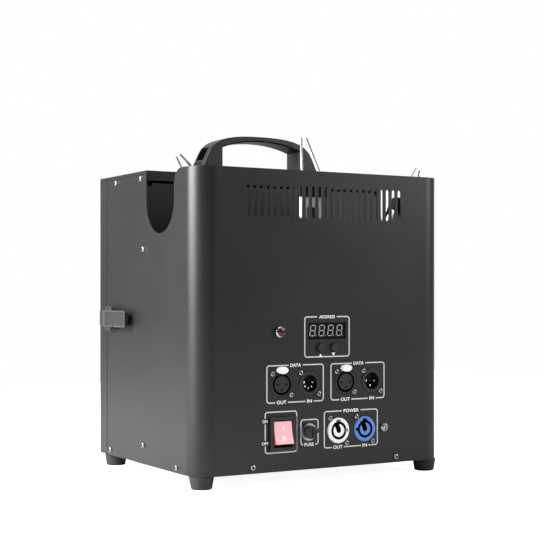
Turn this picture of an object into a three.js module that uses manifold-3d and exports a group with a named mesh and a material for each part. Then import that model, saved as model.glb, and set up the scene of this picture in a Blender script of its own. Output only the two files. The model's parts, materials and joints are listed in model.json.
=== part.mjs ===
// Stage flame machine: a folded steel cabinet with three flame heads in a trough along its top.
// Millimetres, +Z up, the control panel faces -Y and +X is to the right of someone who looks at it.
// The origin is under the middle of the whole object, on the surface that it stands on.
import * as THREE from 'three';
import { mergeVertices } from 'three/addons/utils/BufferGeometryUtils.js';
import ManifoldModule from 'manifold-3d';

const wasm = await ManifoldModule();
wasm.setup();

// Fits and counts that more than one piece uses
const gap = 0.3;
const overrun = 2;
const mergeDistance = 0.0001;
const roundSides = 18;
const smallSides = 12;
const coarseSides = 8;
const slotSides = 3;
const barSteps = 13;

// Driving sizes of the cabinet
const cabinet = {
  width: 271,
  depth: 215,
  height: 275,
  sheet: 1.5,
  frontBend: 9,
  footHeight: 12,
  doorDepth: 18.2,
};
const halfWidth = cabinet.width / 2;
const wallEnd = cabinet.depth - cabinet.doorDepth;
const floorZ = cabinet.footHeight;
const topZ = floorZ + cabinet.height;
const innerX = halfWidth - cabinet.sheet;
const outX = innerX - gap;
const behindPanel = cabinet.sheet + gap;
const insideZ = floorZ + cabinet.sheet + gap;

// Row of slots under the panel's top edge
const slots = { count: 25, pitch: 6.93, width: 3.7, height: 29.8, middleDrop: 29 };

// Opening in each side wall, where the outer flames leave the trough
const notch = { frontY: 44.5, width: 60, depth: 57.5, lip: 14 };

// Sheet pieces inside the shell
const base = { edge: 12, tailClearance: 1, screwHole: 2.2 };
const trough = { floorDrop: 73, edge: 8 };
const troughZ = topZ - trough.floorDrop;
const partition = { frontY: 105.8, topDrop: 8.3, flange: 12, relief: 5, reliefDrop: 3 };
const lid = { frontY: 104, rise: 1.5, flange: 6.5, boltHole: 2.2 };
const lidTopZ = topZ + gap + lid.rise + cabinet.sheet;

// Carrying handle on the lid, with shares of its outline's bends
const handle = {
  frontY: 120,
  depth: 26,
  footHalf: 70.5,
  shoulderHalf: 60,
  shoulderZ: 22.2,
  crownZ: 41,
  windowHalf: 44.3,
  windowSideZ: 28.3,
  windowCrownZ: 35.8,
  edge: 1.5,
  pocketDepth: 7,
  pocketFrontRim: 8,
  pocketRearRim: 3,
  pocketBottomZ: 17.3,
  pocketTopZ: 32,
  boltX: 57,
  sidePullShare: 0.883,
  sidePullZShare: 0.952,
  crownPullShare: 0.5,
  windowPullShare: 0.55,
};

// Rubber feet
const foot = {
  topRadius: 11.4, bottomRadius: 9.6, edge: 1, insetX: 12.2, frontY: 14, rearInset: 12, screwRadius: 3.6,
  screwDepth: 5,
};

// Rear door and its hinge
const door = { startGap: 1.2, ventCount: 10, ventPitch: 12, ventWidth: 4, ventHeight: 24, ventZ: 52 };
const hinge = {
  knuckleRadius: 3.2,
  pinRadius: 1.5,
  leaf: 1.2,
  leafWidth: 14,
  leafStart: 0.45,
  bottomRise: 30,
  topDrop: 35,
  knuckles: 5,
};
const hingeBottomZ = floorZ + hinge.bottomRise;
const hingeTopZ = topZ - hinge.topDrop;

// Draw latch on the left wall: each reach is measured out from the wall, each y back from the lever's tip
const latch = {
  lead: 60.8,
  middleZ: 149,
  bodyWidth: 16,
  plate: 1.2,
  rim: 0.6,
  leverReach: 8,
  leverFrontY: 0,
  leverLip: 3,
  leverTail: 1.6,
  cheekLead: 3,
  pivotY: 48,
  pivotReach: 4.9,
  pinRadius: 1,
  clawPinY: 40.5,
  clawReach: 5,
  clawThickness: 1.4,
  clawRadius: 12.5,
  clawY: 46,
  bridgeY: 51.5,
  bridgeWidth: 2.5,
  hookY: 66.6,
  hookReach: 2.4,
  crestShare: 0.45,
  baseFrontY: 10,
  baseEndY: 60,
  earY: 43,
  keeperY: 63.2,
  keeperWidth: 12,
};

// Control panel devices: x and z give the middle of each one
const lamp = {
  x: -51.1, z: 139, radius: 5, reach: 3.6, edge: 0.9, lensRadius: 3.3, seat: 1.4, dome: 1,
  stemRadius: 3.8, stemLength: 9, nut: 2.5,
};
const display = { x: 0.8, z: 139.2, width: 41, height: 15, rim: 1.2, sink: 0.9, depth: 11 };
const button = {
  spread: 15, z: 123.9, radius: 4, holeRadius: 4.5, reach: 2.4, edge: 0.6, skirtRadius: 5.2, skirt: 1.2,
  stemRadius: 1.8, length: 9,
};
const socket = {
  femaleXs: [-48.6, 21],
  maleXs: [-18.6, 50.8],
  z: 91.2,
  radius: 11.7,
  holeRadius: 12.1,
  reach: 0.6,
  edge: 0.4,
  depth: 22,
  cupRadius: 8.1,
  cupDepth: 11,
  insertRadius: 7.7,
  grooveRadius: 9.9,
  grooveDepth: 9,
  contactRadius: 1.3,
  pinRadius: 1.1,
  pinCircle: 4.6,
  threePoleSpread: 180,
  fivePoleSpread: 200,
  pinSink: 2.4,
  flangeHalf: 13,
  flange: 1.8,
};
const tab = {
  offsetZ: 13, halfWidth: 5.6, halfHeight: 3.3, reach: 3.2, travel: 1.6, length: 9, clearance: 0.5,
};
const power = {
  outletX: 12.9,
  inletX: 42.5,
  z: 46.1,
  radius: 12,
  holeRadius: 12.3,
  reach: 1.2,
  edge: 0.6,
  depth: 24,
  grooveRadius: 8.5,
  coreRadius: 6,
  grooveDepth: 14,
  slotWidth: 5,
  slotTurn: -22,
  keyWidth: 5.2,
  sideKeyWidth: 3,
  keyReach: 10.3,
  flangeHalfX: 13,
  flangeHalfZ: 15.5,
  flange: 2,
};
const fuse = {
  x: -20, z: 46.6, nutRadius: 8, nutReach: 1.6, bodyRadius: 6, bodyDepth: 34, capRadius: 6.1, capReach: 7,
  edge: 0.8, slotWidth: 1.2, slotDepth: 1, stemRadius: 3.4, stemLength: 12, slotShare: 0.7,
};
const mains = {
  x: -47.6,
  z: 46.4,
  width: 28,
  height: 31,
  reach: 2,
  bodyWidth: 24,
  bodyHeight: 27.4,
  depth: 24,
  wellDepth: 12,
  pivotY: 3,
  rockerWidth: 19,
  rockerHalf: 10.5,
  rockerReach: 6.1,
  rockerDish: 1.1,
  rockerHeel: 1,
  rockerBelly: 5,
  rockerClearance: 0.5,
  pinRadius: 1.2,
  throwDegrees: 22,
};
const ground = {
  x: 64.7, z: 46.4, radius: 4.1, reach: 3.2, crownShare: 0.6, stemRadius: 2, stemLength: 10, slotDepth: 1.2,
  slotWidth: 1, slotShare: 0.7, nut: 3,
};

// Flame heads: heights run up each head's own axis from the trough floor. The outer heads lean out
// over the side walls, so their electrodes bend in sooner than the middle head's.
const middleHead = { lift: 11.5, rodBend: 62, tipHalf: 2.8, tipBack: 13.5 };
const outerHead = { fromWall: 50.9, tilt: 31, lift: 1.3, rodBend: 56, tipHalf: 2.2, tipBack: 11.5 };
const head = {
  y: 27,
  rodRadius: 1.25,
  rodHalf: 10,
  rodStart: 13,
  rodBendRun: 5,
  tipHeight: 96.7,
  ceramicStart: 15.5,
  bridgeStart: 30,
  bridgeEnd: 39.4,
  ceramicRadius: 4.2,
  bridgeHalf: 3.4,
  boreRadius: 1.6,
  capHalf: 15.5,
  capHeight: 13,
  capFront: 5.8,
  capRound: 3,
  uprightY: 7,
  uprightHalf: 13,
  uprightBelow: 20,
  windowHalf: 5,
  windowRim: 4,
  footHalf: 17,
  footDepth: 30,
  shelfStart: 13,
  shelfHalf: 9,
  shelfDepth: 17,
  nozzleBack: 16,
  clearBelow: 60,
};
const nozzle = {
  hexRadius: 7.5,
  hexHeight: 6,
  tubeRadius: 5,
  height: 34,
  tipRadius: 2.6,
  tipHeight: 5,
  boreRadius: 1,
  boreDepth: 12,
  tailRadius: 3,
  tailLength: 10,
};

// Gas side behind the partition: each drop is measured down from the walls' top
const gas = {
  lineRadius: 2.6,
  lineDrop: 91,
  lineLead: 10,
  portRadius: 3.1,
  portDepth: 4,
  floorHole: 10,
  railInset: 22,
  railBottomDrop: 111,
  railTopDrop: 47,
  canShare: 0.679,
  blockWidth: 34,
  blockDepth: 34,
  blockBottomDrop: 103,
  blockHeight: 24,
  coilRadius: 11,
  coilHeight: 24,
  seatRadius: 13,
  seatHeight: 10,
  throatRadius: 4,
};
const railHalf = innerX - gas.railInset;
const lineZ = topZ - gas.lineDrop;
const cradle = { sideInset: 18, frontY: 119, rearInset: 3.8, height: 8, rim: 3, seatShare: 0.46 };

// The three heads: the outer two lean out, and each head has its own fuel can
const outerX = halfWidth - outerHead.fromWall;
const outerCanX = railHalf * gas.canShare;
const heads = [
  { ...outerHead, side: 'left', x: -outerX, tilt: -outerHead.tilt, canX: -outerCanX },
  { ...middleHead, side: 'centre', x: 0, tilt: 0, canX: 0 },
  { ...outerHead, side: 'right', x: outerX, canX: outerCanX },
];

// Electronics under the trough
const supply = { width: 120, depth: 44, height: 42, middleY: 78, edge: 2 };
const igniter = { width: 150, depth: 22, height: 44, drop: 64, rib: 3, ribCount: 5 };
const board = {
  lampGap: 2.1, heightShare: 0.61, y: 17, thickness: 1.6, partDepth: 9, partSize: 16, partX: 28,
  postRadius: 2.4, postInset: 6,
};

// Finishes
const finish = {
  powderCoat: { color: 0x3a3b3d, roughness: 0.55, metalness: 0.2 },
  innerSteel: { color: 0x232426, roughness: 0.6, metalness: 0.3 },
  blackPlastic: { color: 0x1d1d1f, roughness: 0.5, metalness: 0 },
  blackRubber: { color: 0x161617, roughness: 0.85, metalness: 0 },
  brightSteel: { color: 0xb9bcc0, roughness: 0.3, metalness: 0.95 },
  chrome: { color: 0xd6d8da, roughness: 0.12, metalness: 1 },
  ceramic: { color: 0xf1efe8, roughness: 0.35, metalness: 0 },
  brass: { color: 0xb9964f, roughness: 0.3, metalness: 0.9 },
  whitePlastic: { color: 0xf0f0ee, roughness: 0.4, metalness: 0 },
  bluePlastic: { color: 0x5f8fdc, roughness: 0.4, metalness: 0 },
  redPlastic: { color: 0xd8303c, roughness: 0.3, metalness: 0 },
  redLens: { color: 0x6b0f14, roughness: 0.2, metalness: 0 },
  smokedWindow: { color: 0x08080a, roughness: 0.1, metalness: 0 },
  hose: { color: 0x2a2a2c, roughness: 0.5, metalness: 0 },
  circuitBoard: { color: 0x1e5a34, roughness: 0.6, metalness: 0 },
};

// A closed mesh with shared corners, ready to join and cut
function toSolid(geometry) {
  const bare = geometry.clone();
  bare.deleteAttribute('normal');
  bare.deleteAttribute('uv');
  const merged = mergeVertices(bare, mergeDistance);
  const index = merged.index.array;
  const kept = [];
  for (let i = 0; i < index.length; i += 3) {
    const [a, b, c] = [index[i], index[i + 1], index[i + 2]];
    if (a !== b && b !== c && c !== a) kept.push(a, b, c);
  }
  return new wasm.Manifold(new wasm.Mesh({
    numProp: 3,
    vertProperties: new Float32Array(merged.attributes.position.array),
    triVerts: new Uint32Array(kept),
  }));
}

function toGeometry(solid) {
  const mesh = solid.getMesh();
  const geometry = new THREE.BufferGeometry();
  geometry.setAttribute('position', new THREE.BufferAttribute(mesh.vertProperties, 3));
  geometry.setIndex(new THREE.BufferAttribute(mesh.triVerts, 1));
  geometry.computeVertexNormals();
  return geometry;
}

const join = (...solids) => solids.reduce((whole, next) => whole.add(next));
const cut = (body, ...tools) => tools.reduce((left, tool) => left.subtract(tool), body);
const move = (solid, x, y, z) => solid.translate([x, y, z]);
const bothSides = [-1, 1];

// Outlines are drawn flat, then stood up along an axis of the cabinet
const alongY = new THREE.Matrix4().makeBasis(
  new THREE.Vector3(1, 0, 0),
  new THREE.Vector3(0, 0, 1),
  new THREE.Vector3(0, -1, 0),
);
const alongX = new THREE.Matrix4().makeBasis(
  new THREE.Vector3(0, 1, 0),
  new THREE.Vector3(0, 0, 1),
  new THREE.Vector3(1, 0, 0),
);

function block(x0, x1, y0, y1, z0, z1) {
  const geometry = new THREE.BoxGeometry(x1 - x0, y1 - y0, z1 - z0);
  return toSolid(geometry.translate((x0 + x1) / 2, (y0 + y1) / 2, (z0 + z1) / 2));
}

function extrude(shape, depth, sides, bevel) {
  return new THREE.ExtrudeGeometry(shape, { depth, curveSegments: sides, bevelEnabled: false, ...bevel });
}

// An outline in X and Z, from y0 back to y1
function prismY(shape, y0, y1, sides) {
  return toSolid(extrude(shape, y1 - y0, sides).applyMatrix4(alongY).translate(0, y1, 0));
}

// An outline in Y and Z, from x0 to x1
function prismX(shape, x0, x1, sides) {
  return toSolid(extrude(shape, x1 - x0, sides).applyMatrix4(alongX).translate(x0, 0, 0));
}

// An outline in X and Y, from z0 up to z1
function prismZ(shape, z0, z1, sides) {
  return toSolid(extrude(shape, z1 - z0, sides).translate(0, 0, z0));
}

// A profile of [radius, height] pairs turned round the Z axis
function turned(profile, sides = roundSides) {
  const points = profile.map(([radius, height]) => new THREE.Vector2(radius, height));
  return toSolid(new THREE.LatheGeometry(points, sides).rotateX(Math.PI / 2));
}

function rod(radius, z0, z1, sides = smallSides) {
  return turned([[0, z0], [radius, z0], [radius, z1], [0, z1]], sides);
}

// Heights that run up Z come to run out of the panel, along -Y
const faceOut = (solid) => solid.rotate([90, 0, 0]);

// A rod square to the panel, from y0 back to y1
function rodY(radius, x, z, y0, y1, sides = smallSides) {
  return move(faceOut(rod(radius, -y1, -y0, sides)), x, 0, z);
}

// A rod square to the side walls, from x0 to x1
function rodX(radius, y, z, x0, x1, sides = smallSides) {
  return move(rod(radius, x0, x1, sides).rotate([0, 90, 0]), 0, y, z);
}

function ringProfile(inner, outer, low, high) {
  return [[inner, low], [outer, low], [outer, high], [inner, high], [inner, low]];
}

function roundedRectangle(halfX, halfY, radius) {
  const shape = new THREE.Shape();
  shape.moveTo(radius - halfX, -halfY);
  shape.lineTo(halfX - radius, -halfY);
  shape.absarc(halfX - radius, radius - halfY, radius, -Math.PI / 2, 0);
  shape.lineTo(halfX, halfY - radius);
  shape.absarc(halfX - radius, halfY - radius, radius, 0, Math.PI / 2);
  shape.lineTo(radius - halfX, halfY);
  shape.absarc(radius - halfX, halfY - radius, radius, Math.PI / 2, Math.PI);
  shape.lineTo(-halfX, radius - halfY);
  shape.absarc(radius - halfX, radius - halfY, radius, Math.PI, 1.5 * Math.PI);
  return shape;
}

function stadium(x, z, width, height) {
  const half = width / 2;
  const reach = height / 2 - half;
  const shape = new THREE.Shape();
  shape.moveTo(x + half, z - reach);
  shape.lineTo(x + half, z + reach);
  shape.absarc(x, z + reach, half, 0, Math.PI);
  shape.lineTo(x - half, z - reach);
  shape.absarc(x, z - reach, half, Math.PI, 2 * Math.PI);
  return shape;
}

// Middles of a row of equal things, about zero
function row(count, pitch) {
  return Array.from({ length: count }, (_, i) => (i - (count - 1) / 2) * pitch);
}

// The assembly, in the cabinet's own frame until the end
const cabinetFrame = new THREE.Group();

function place(name, slot, solid, at = [0, 0, 0]) {
  const mesh = new THREE.Mesh(toGeometry(solid), new THREE.MeshStandardMaterial(finish[slot]));
  mesh.name = name;
  mesh.position.set(...at);
  cabinetFrame.add(mesh);
}

// Front panel and both side walls: one sheet with two round bends
function frontShell() {
  const { sheet, frontBend } = cabinet;
  const bendX = halfWidth - frontBend;
  const innerBend = frontBend - sheet;
  const plan = new THREE.Shape();
  plan.moveTo(-halfWidth, wallEnd);
  plan.lineTo(-halfWidth, frontBend);
  plan.absarc(-bendX, frontBend, frontBend, Math.PI, 1.5 * Math.PI);
  plan.lineTo(bendX, 0);
  plan.absarc(bendX, frontBend, frontBend, 1.5 * Math.PI, 2 * Math.PI);
  plan.lineTo(halfWidth, wallEnd);
  plan.lineTo(innerX, wallEnd);
  plan.lineTo(innerX, frontBend);
  plan.absarc(bendX, frontBend, innerBend, 0, -Math.PI / 2, true);
  plan.lineTo(-bendX, sheet);
  plan.absarc(-bendX, frontBend, innerBend, -Math.PI / 2, -Math.PI, true);
  plan.lineTo(-innerX, wallEnd);
  const folded = prismZ(plan, floorZ, topZ, smallSides / 2);

  const front = -overrun;
  const back = sheet + overrun;
  const window = (x, z, width, height) => {
    const halfX = width / 2 + gap;
    const halfZ = height / 2 + gap;
    return block(x - halfX, x + halfX, front, back, z - halfZ, z + halfZ);
  };
  const round = (radius, x, z, sides) => rodY(radius, x, z, front, back, sides);
  const slotAt = (x) => stadium(x, topZ - slots.middleDrop, slots.width, slots.height);
  const slotTools = row(slots.count, slots.pitch)
    .map((x) => prismY(slotAt(x), front, back, slotSides));
  const holes = [
    round(lamp.stemRadius + gap, lamp.x, lamp.z),
    window(display.x, display.z, display.width, display.height),
    ...buttonXs().map((x) => round(button.holeRadius, x, button.z)),
    ...[...socket.femaleXs, ...socket.maleXs].map((x) => round(socket.holeRadius, x, socket.z, roundSides)),
    ...socket.femaleXs.map((x) => move(tabBody(front, back, tab.clearance), x, 0, socket.z + tab.offsetZ)),
    ...[power.outletX, power.inletX].map((x) => round(power.holeRadius, x, power.z, roundSides)),
    round(fuse.bodyRadius + gap, fuse.x, fuse.z),
    window(mains.x, mains.z, mains.bodyWidth, mains.bodyHeight),
    round(ground.stemRadius + gap, ground.x, ground.z),
  ];
  return cut(folded, ...slotTools, ...holes, notchTool());
}

const buttonXs = () => bothSides.map((side) => display.x + side * button.spread / 2);

// The notch is straight above its round bottom, and its front top corner is rounded over
function notchTool() {
  const radius = notch.width / 2;
  const rearY = notch.frontY + notch.width;
  const middleZ = topZ - notch.depth + radius;
  const outline = new THREE.Shape();
  outline.moveTo(notch.frontY - notch.lip, topZ + overrun);
  outline.lineTo(notch.frontY - notch.lip, topZ);
  outline.absarc(notch.frontY - notch.lip, topZ - notch.lip, notch.lip, Math.PI / 2, 0, true);
  outline.lineTo(notch.frontY, middleZ);
  outline.absarc(notch.frontY + radius, middleZ, radius, Math.PI, 2 * Math.PI);
  outline.lineTo(rearY, topZ + overrun);
  return prismX(outline, -halfWidth - overrun, halfWidth + overrun, coarseSides);
}

// Middles of the four feet
function footPlaces() {
  const x = halfWidth - foot.insetX;
  const rearY = cabinet.depth - foot.rearInset;
  return {
    front_left: [-x, foot.frontY],
    front_right: [x, foot.frontY],
    rear_left: [-x, rearY],
    rear_right: [x, rearY],
  };
}

// Base: a tray whose front and side edges turn up inside the shell, with a tail inside the door
function basePlate() {
  const { sheet, depth, frontBend } = cabinet;
  const noseX = halfWidth - frontBend;
  const tailX = outX - base.tailClearance;
  const upperZ = floorZ + sheet;
  const edgeZ = floorZ + base.edge;
  const plate = block(-outX, outX, frontBend, wallEnd, floorZ, upperZ);
  const nose = block(-noseX, noseX, behindPanel, frontBend + overrun, floorZ, upperZ);
  const tail = block(-tailX, tailX, frontBend, depth - sheet - gap, floorZ, upperZ);
  const frontEdge = block(-noseX, noseX, behindPanel, behindPanel + sheet, floorZ, edgeZ);
  const sideEdges = [-outX, outX - sheet]
    .map((x) => block(x, x + sheet, frontBend, wallEnd, floorZ, edgeZ));
  const screwHoles = Object.values(footPlaces())
    .map(([x, y]) => move(rod(base.screwHole, floorZ - overrun, upperZ + overrun), x, y, 0));
  return cut(join(plate, nose, tail, frontEdge, ...sideEdges), ...screwHoles);
}

// Partition: back wall of the trough and front wall of the gas bay, with relieved top corners
function partitionWall() {
  const { sheet } = cabinet;
  const { frontY, flange, relief, reliefDrop } = partition;
  const top = topZ - partition.topDrop;
  const rearY = frontY + flange;
  const wall = block(-outX, outX, frontY, frontY + sheet, insideZ, top);
  const sides = [-outX, outX - sheet].map((x) => block(x, x + sheet, frontY, rearY, insideZ, top));
  const fold = block(relief - outX, outX - relief, frontY, rearY, top - sheet, top);
  const cornerTool = (side, nearX, z0, z1) => {
    const near = side * nearX;
    const far = side * (outX + overrun);
    return block(Math.min(near, far), Math.max(near, far), frontY - overrun, rearY + overrun, z0, z1);
  };
  const cornerTools = bothSides.flatMap((side) => [
    cornerTool(side, outX - relief, top - reliefDrop, top + overrun),
    cornerTool(side, outX - sheet - gap, 0, floorZ + base.edge + gap),
  ]);
  const ports = heads
    .map(({ canX }) => rodY(gas.portRadius, canX, lineZ, frontY - overrun, frontY + sheet + overrun));
  return cut(join(wall, ...sides, fold), ...cornerTools, ...ports);
}

// Trough floor: a shelf between panel and partition, with its front and rear edges turned down
function troughFloor() {
  const { sheet, frontBend } = cabinet;
  const noseX = halfWidth - frontBend;
  const rearY = partition.frontY - gap;
  const plate = block(-outX, outX, frontBend, rearY, troughZ - sheet, troughZ);
  const nose = block(-noseX, noseX, behindPanel, frontBend + overrun, troughZ - sheet, troughZ);
  const edges = [behindPanel, rearY - sheet]
    .map((y) => block(-noseX, noseX, y, y + sheet, troughZ - trough.edge, troughZ));
  const tool = rod(gas.floorHole, -head.clearBelow, head.clearBelow);
  const holes = heads.map((where) => setHead(tool, where, head.nozzleBack));
  return cut(join(plate, nose, ...edges), ...holes);
}

// Lid behind the trough: a pan whose thick rim stands on the walls, with edges turned down inside them
function topLid() {
  const { sheet } = cabinet;
  const under = topZ + gap;
  const low = under - lid.flange;
  const sideStart = notch.frontY + notch.width + lid.flange;
  const plate = block(-halfWidth, halfWidth, lid.frontY, wallEnd, lidTopZ - sheet, lidTopZ);
  const front = block(-outX, outX, lid.frontY, lid.frontY + sheet, low, lidTopZ);
  const rims = [[-halfWidth, sheet - outX], [outX - sheet, halfWidth]]
    .map(([x0, x1]) => block(x0, x1, lid.frontY, wallEnd, under, lidTopZ));
  const sides = [-outX, outX - sheet].map((x) => block(x, x + sheet, sideStart, wallEnd, low, lidTopZ));
  const bolt = rod(lid.boltHole, under - overrun, lidTopZ + overrun);
  const boltY = handle.frontY + handle.depth / 2;
  const bolts = bothSides.map((side) => move(bolt, side * handle.boltX, boltY, 0));
  return cut(join(plate, front, ...rims, ...sides), ...bolts);
}

// Handle: a flat arch with a pocket in each end, moulded in one piece
function carryHandle() {
  const h = handle;
  const sidePull = h.shoulderHalf * h.sidePullShare;
  const sidePullZ = h.crownZ * h.sidePullZShare;
  const crownPull = h.shoulderHalf * h.crownPullShare;
  const windowPull = h.windowHalf * h.windowPullShare;
  const arch = new THREE.Shape();
  arch.moveTo(-h.footHalf, 0);
  arch.lineTo(-h.windowHalf, 0);
  arch.lineTo(-h.windowHalf, h.windowSideZ);
  arch.quadraticCurveTo(-windowPull, h.windowCrownZ, 0, h.windowCrownZ);
  arch.quadraticCurveTo(windowPull, h.windowCrownZ, h.windowHalf, h.windowSideZ);
  arch.lineTo(h.windowHalf, 0);
  arch.lineTo(h.footHalf, 0);
  arch.lineTo(h.shoulderHalf, h.shoulderZ);
  arch.bezierCurveTo(sidePull, sidePullZ, crownPull, h.crownZ, 0, h.crownZ);
  arch.bezierCurveTo(-crownPull, h.crownZ, -sidePull, sidePullZ, -h.shoulderHalf, h.shoulderZ);
  const bevel = {
    bevelEnabled: true, bevelThickness: h.edge, bevelSize: h.edge, bevelOffset: -h.edge, bevelSegments: 2,
  };
  const solid = toSolid(extrude(arch, h.depth - 2 * h.edge, coarseSides, bevel)
    .applyMatrix4(alongY).translate(0, h.depth - h.edge, 0));
  const slant = THREE.MathUtils.radToDeg(Math.atan2(h.footHalf - h.shoulderHalf, h.shoulderZ));
  const pockets = bothSides.map((side) => {
    const frontY = h.pocketFrontRim;
    const rearY = h.depth - h.pocketRearRim;
    const tool = block(-h.pocketDepth, h.pocketDepth, frontY, rearY, h.pocketBottomZ, h.pocketTopZ);
    return move(tool.rotate([0, -side * slant, 0]), side * h.footHalf, 0, 0);
  });
  return cut(solid, ...pockets);
}

function rubberFoot() {
  const f = foot;
  const height = cabinet.footHeight - gap;
  return turned([
    [0, f.screwDepth],
    [f.screwRadius, f.screwDepth],
    [f.screwRadius, 0],
    [f.bottomRadius - f.edge, 0],
    [f.bottomRadius, f.edge],
    [f.topRadius, height],
    [0, height],
  ]);
}

// Rear door: a tray that closes the gas bay, with folded top and side edges
function rearDoor() {
  const { sheet, depth } = cabinet;
  const startY = wallEnd + door.startGap;
  const faceY = depth - sheet;
  const face = block(-halfWidth, halfWidth, faceY, depth, floorZ, lidTopZ);
  const sides = [-halfWidth, innerX].map((x) => block(x, x + sheet, startY, depth, floorZ, lidTopZ));
  const roof = block(-halfWidth, halfWidth, startY, depth, lidTopZ - sheet, lidTopZ);
  const ventAt = (x) => stadium(x, door.ventZ, door.ventWidth, door.ventHeight);
  const vents = row(door.ventCount, door.ventPitch)
    .map((x) => prismY(ventAt(x), faceY - overrun, depth + overrun, slotSides));
  return cut(join(face, ...sides, roof), ...vents);
}

// Continuous hinge on the right: two leaves whose knuckles take turns along one pin
function hingeLeaf(side) {
  const h = hinge;
  const pinX = halfWidth + gap + h.knuckleRadius;
  const pinY = wallEnd + door.startGap / 2;
  const leafX = halfWidth + gap;
  const root = pinY + side * h.leafStart;
  const tip = root + side * h.leafWidth;
  const length = (hingeTopZ - hingeBottomZ) / h.knuckles;
  const isDoor = side > 0;
  const rings = [];
  const clearances = [];
  for (let i = 0; i < h.knuckles; i += 1) {
    const z0 = hingeBottomZ + i * length + gap / 2;
    const z1 = hingeBottomZ + (i + 1) * length - gap / 2;
    const owned = (i % 2 === 1) === isDoor;
    const holdsPin = i === 0 || i === h.knuckles - 1;
    if (!owned) clearances.push(rod(h.knuckleRadius + gap, z0 - gap, z1 + gap));
    else if (holdsPin) rings.push(rod(h.knuckleRadius, z0, z1));
    else rings.push(turned(ringProfile(h.pinRadius + gap, h.knuckleRadius, z0, z1), smallSides));
  }
  const toPin = (solid) => move(solid, pinX, pinY, 0);
  const near = Math.min(root, tip);
  const plate = block(leafX, leafX + h.leaf, near, near + h.leafWidth, hingeBottomZ, hingeTopZ);
  const leaf = join(cut(plate, ...clearances.map(toPin)), ...rings.map(toPin));
  return isDoor ? leaf : join(leaf, toPin(rod(h.pinRadius, hingeBottomZ + gap, hingeTopZ - gap)));
}

// Latch: a base with two ears, a lever on short pins, and a forked claw that the lever draws forward
function latchBase() {
  const l = latch;
  const wallX = -halfWidth - gap;
  const cheekInner = l.bodyWidth / 2 - l.plate;
  const earOuter = cheekInner - gap;
  const earInner = earOuter - l.plate;
  const earRadius = l.pinRadius + l.rim;
  const pivotX = -halfWidth - l.pivotReach;
  const plate = block(
    wallX - l.plate, wallX, l.baseFrontY, l.baseEndY, l.middleZ - earOuter, l.middleZ + earOuter);
  // Each ear ends in a round about the pin, which the lever's tail passes close by
  const ears = [-earOuter, earInner].flatMap((z) => [
    block(pivotX - earRadius, wallX, l.earY, l.pivotY, l.middleZ + z, l.middleZ + z + l.plate),
    move(rod(earRadius, z, z + l.plate), pivotX, l.pivotY, l.middleZ),
  ]);
  const pinEnd = cheekInner + l.plate / 2;
  const pins = [[-pinEnd, -earInner], [earInner, pinEnd]]
    .map(([z0, z1]) => move(rod(l.pinRadius, z0, z1), pivotX, l.pivotY, l.middleZ));
  return join(plate, ...ears, ...pins);
}

function latchLever() {
  const l = latch;
  const outer = -halfWidth - l.leverReach;
  const rear = l.pivotY + l.leverTail;
  const half = l.bodyWidth / 2;
  const inside = half - l.plate;
  const face = new THREE.Shape();
  face.moveTo(l.leverFrontY + l.plate, l.middleZ - half);
  face.lineTo(rear, l.middleZ - half);
  face.lineTo(rear, l.middleZ + half);
  face.lineTo(l.leverFrontY + l.plate, l.middleZ + half);
  face.lineTo(l.leverFrontY, l.middleZ + inside);
  face.lineTo(l.leverFrontY, l.middleZ - inside);
  const plate = prismX(face, outer, outer + l.plate, 1);
  const cheekX = -halfWidth - l.pivotReach + l.pinRadius + l.rim;
  const cheekY = l.clawPinY - l.cheekLead;
  const cheeks = [-half, inside]
    .map((z) => block(outer, cheekX, cheekY, rear, l.middleZ + z, l.middleZ + z + l.plate));
  const tipY = l.leverFrontY;
  const lip = block(
    outer, outer + l.leverLip, tipY, tipY + l.plate, l.middleZ - inside, l.middleZ + inside);
  const hole = rod(l.pinRadius + gap, -half - overrun, half + overrun);
  const holes = [[l.pivotY, l.pivotReach], [l.clawPinY, l.clawReach]]
    .map(([y, reach]) => move(hole, -halfWidth - reach, y, l.middleZ));
  return cut(join(plate, lip, ...cheeks), ...holes);
}

function latchClaw() {
  const l = latch;
  const outer = -halfWidth - l.clawReach - l.clawThickness / 2;
  const inner = outer + l.clawThickness;
  const half = l.bodyWidth / 2;
  const openHalf = half + gap;
  const disc = rodX(l.clawRadius, l.clawY, l.middleZ, outer, inner, roundSides);
  const low = l.clawY - l.clawRadius - overrun;
  const high = l.clawY + l.clawRadius + overrun;
  const wide = l.clawRadius + overrun;
  const tool = (y0, y1, halfZ) => block(
    outer - overrun, inner + overrun, y0, y1, l.middleZ - halfZ, l.middleZ + halfZ);
  const fork = cut(disc, tool(low, l.bridgeY, openHalf), tool(low, l.clawPinY - l.cheekLead, wide),
    tool(l.bridgeY + l.bridgeWidth, high, wide));
  const pinEnd = openHalf + l.plate;
  const pinTip = half - l.plate;
  const pins = [[-pinEnd, -pinTip], [pinTip, pinEnd]]
    .map(([z0, z1]) => move(rod(l.pinRadius, z0, z1), -halfWidth - l.clawReach, l.clawPinY, l.middleZ));
  // The tail humps outward behind the lever, then turns in over the keeper
  const humpX = -halfWidth - l.leverReach;
  const tipX = -halfWidth - l.hookReach;
  const crestY = l.bridgeY + (l.hookY - l.bridgeY) * l.crestShare;
  const t = l.clawThickness;
  const tail = new THREE.Shape();
  tail.moveTo(inner, l.bridgeY);
  tail.lineTo(inner, l.bridgeY + t);
  tail.quadraticCurveTo(humpX + t, l.bridgeY + t, humpX + t, crestY);
  tail.quadraticCurveTo(humpX + t, l.hookY - t, tipX, l.hookY - t);
  tail.lineTo(tipX, l.hookY);
  tail.quadraticCurveTo(humpX, l.hookY, humpX, crestY);
  tail.quadraticCurveTo(humpX, l.bridgeY, outer, l.bridgeY);
  const tailHalf = half - l.plate / 2;
  return join(fork, ...pins, prismZ(tail, l.middleZ - tailHalf, l.middleZ + tailHalf, 6));
}

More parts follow.
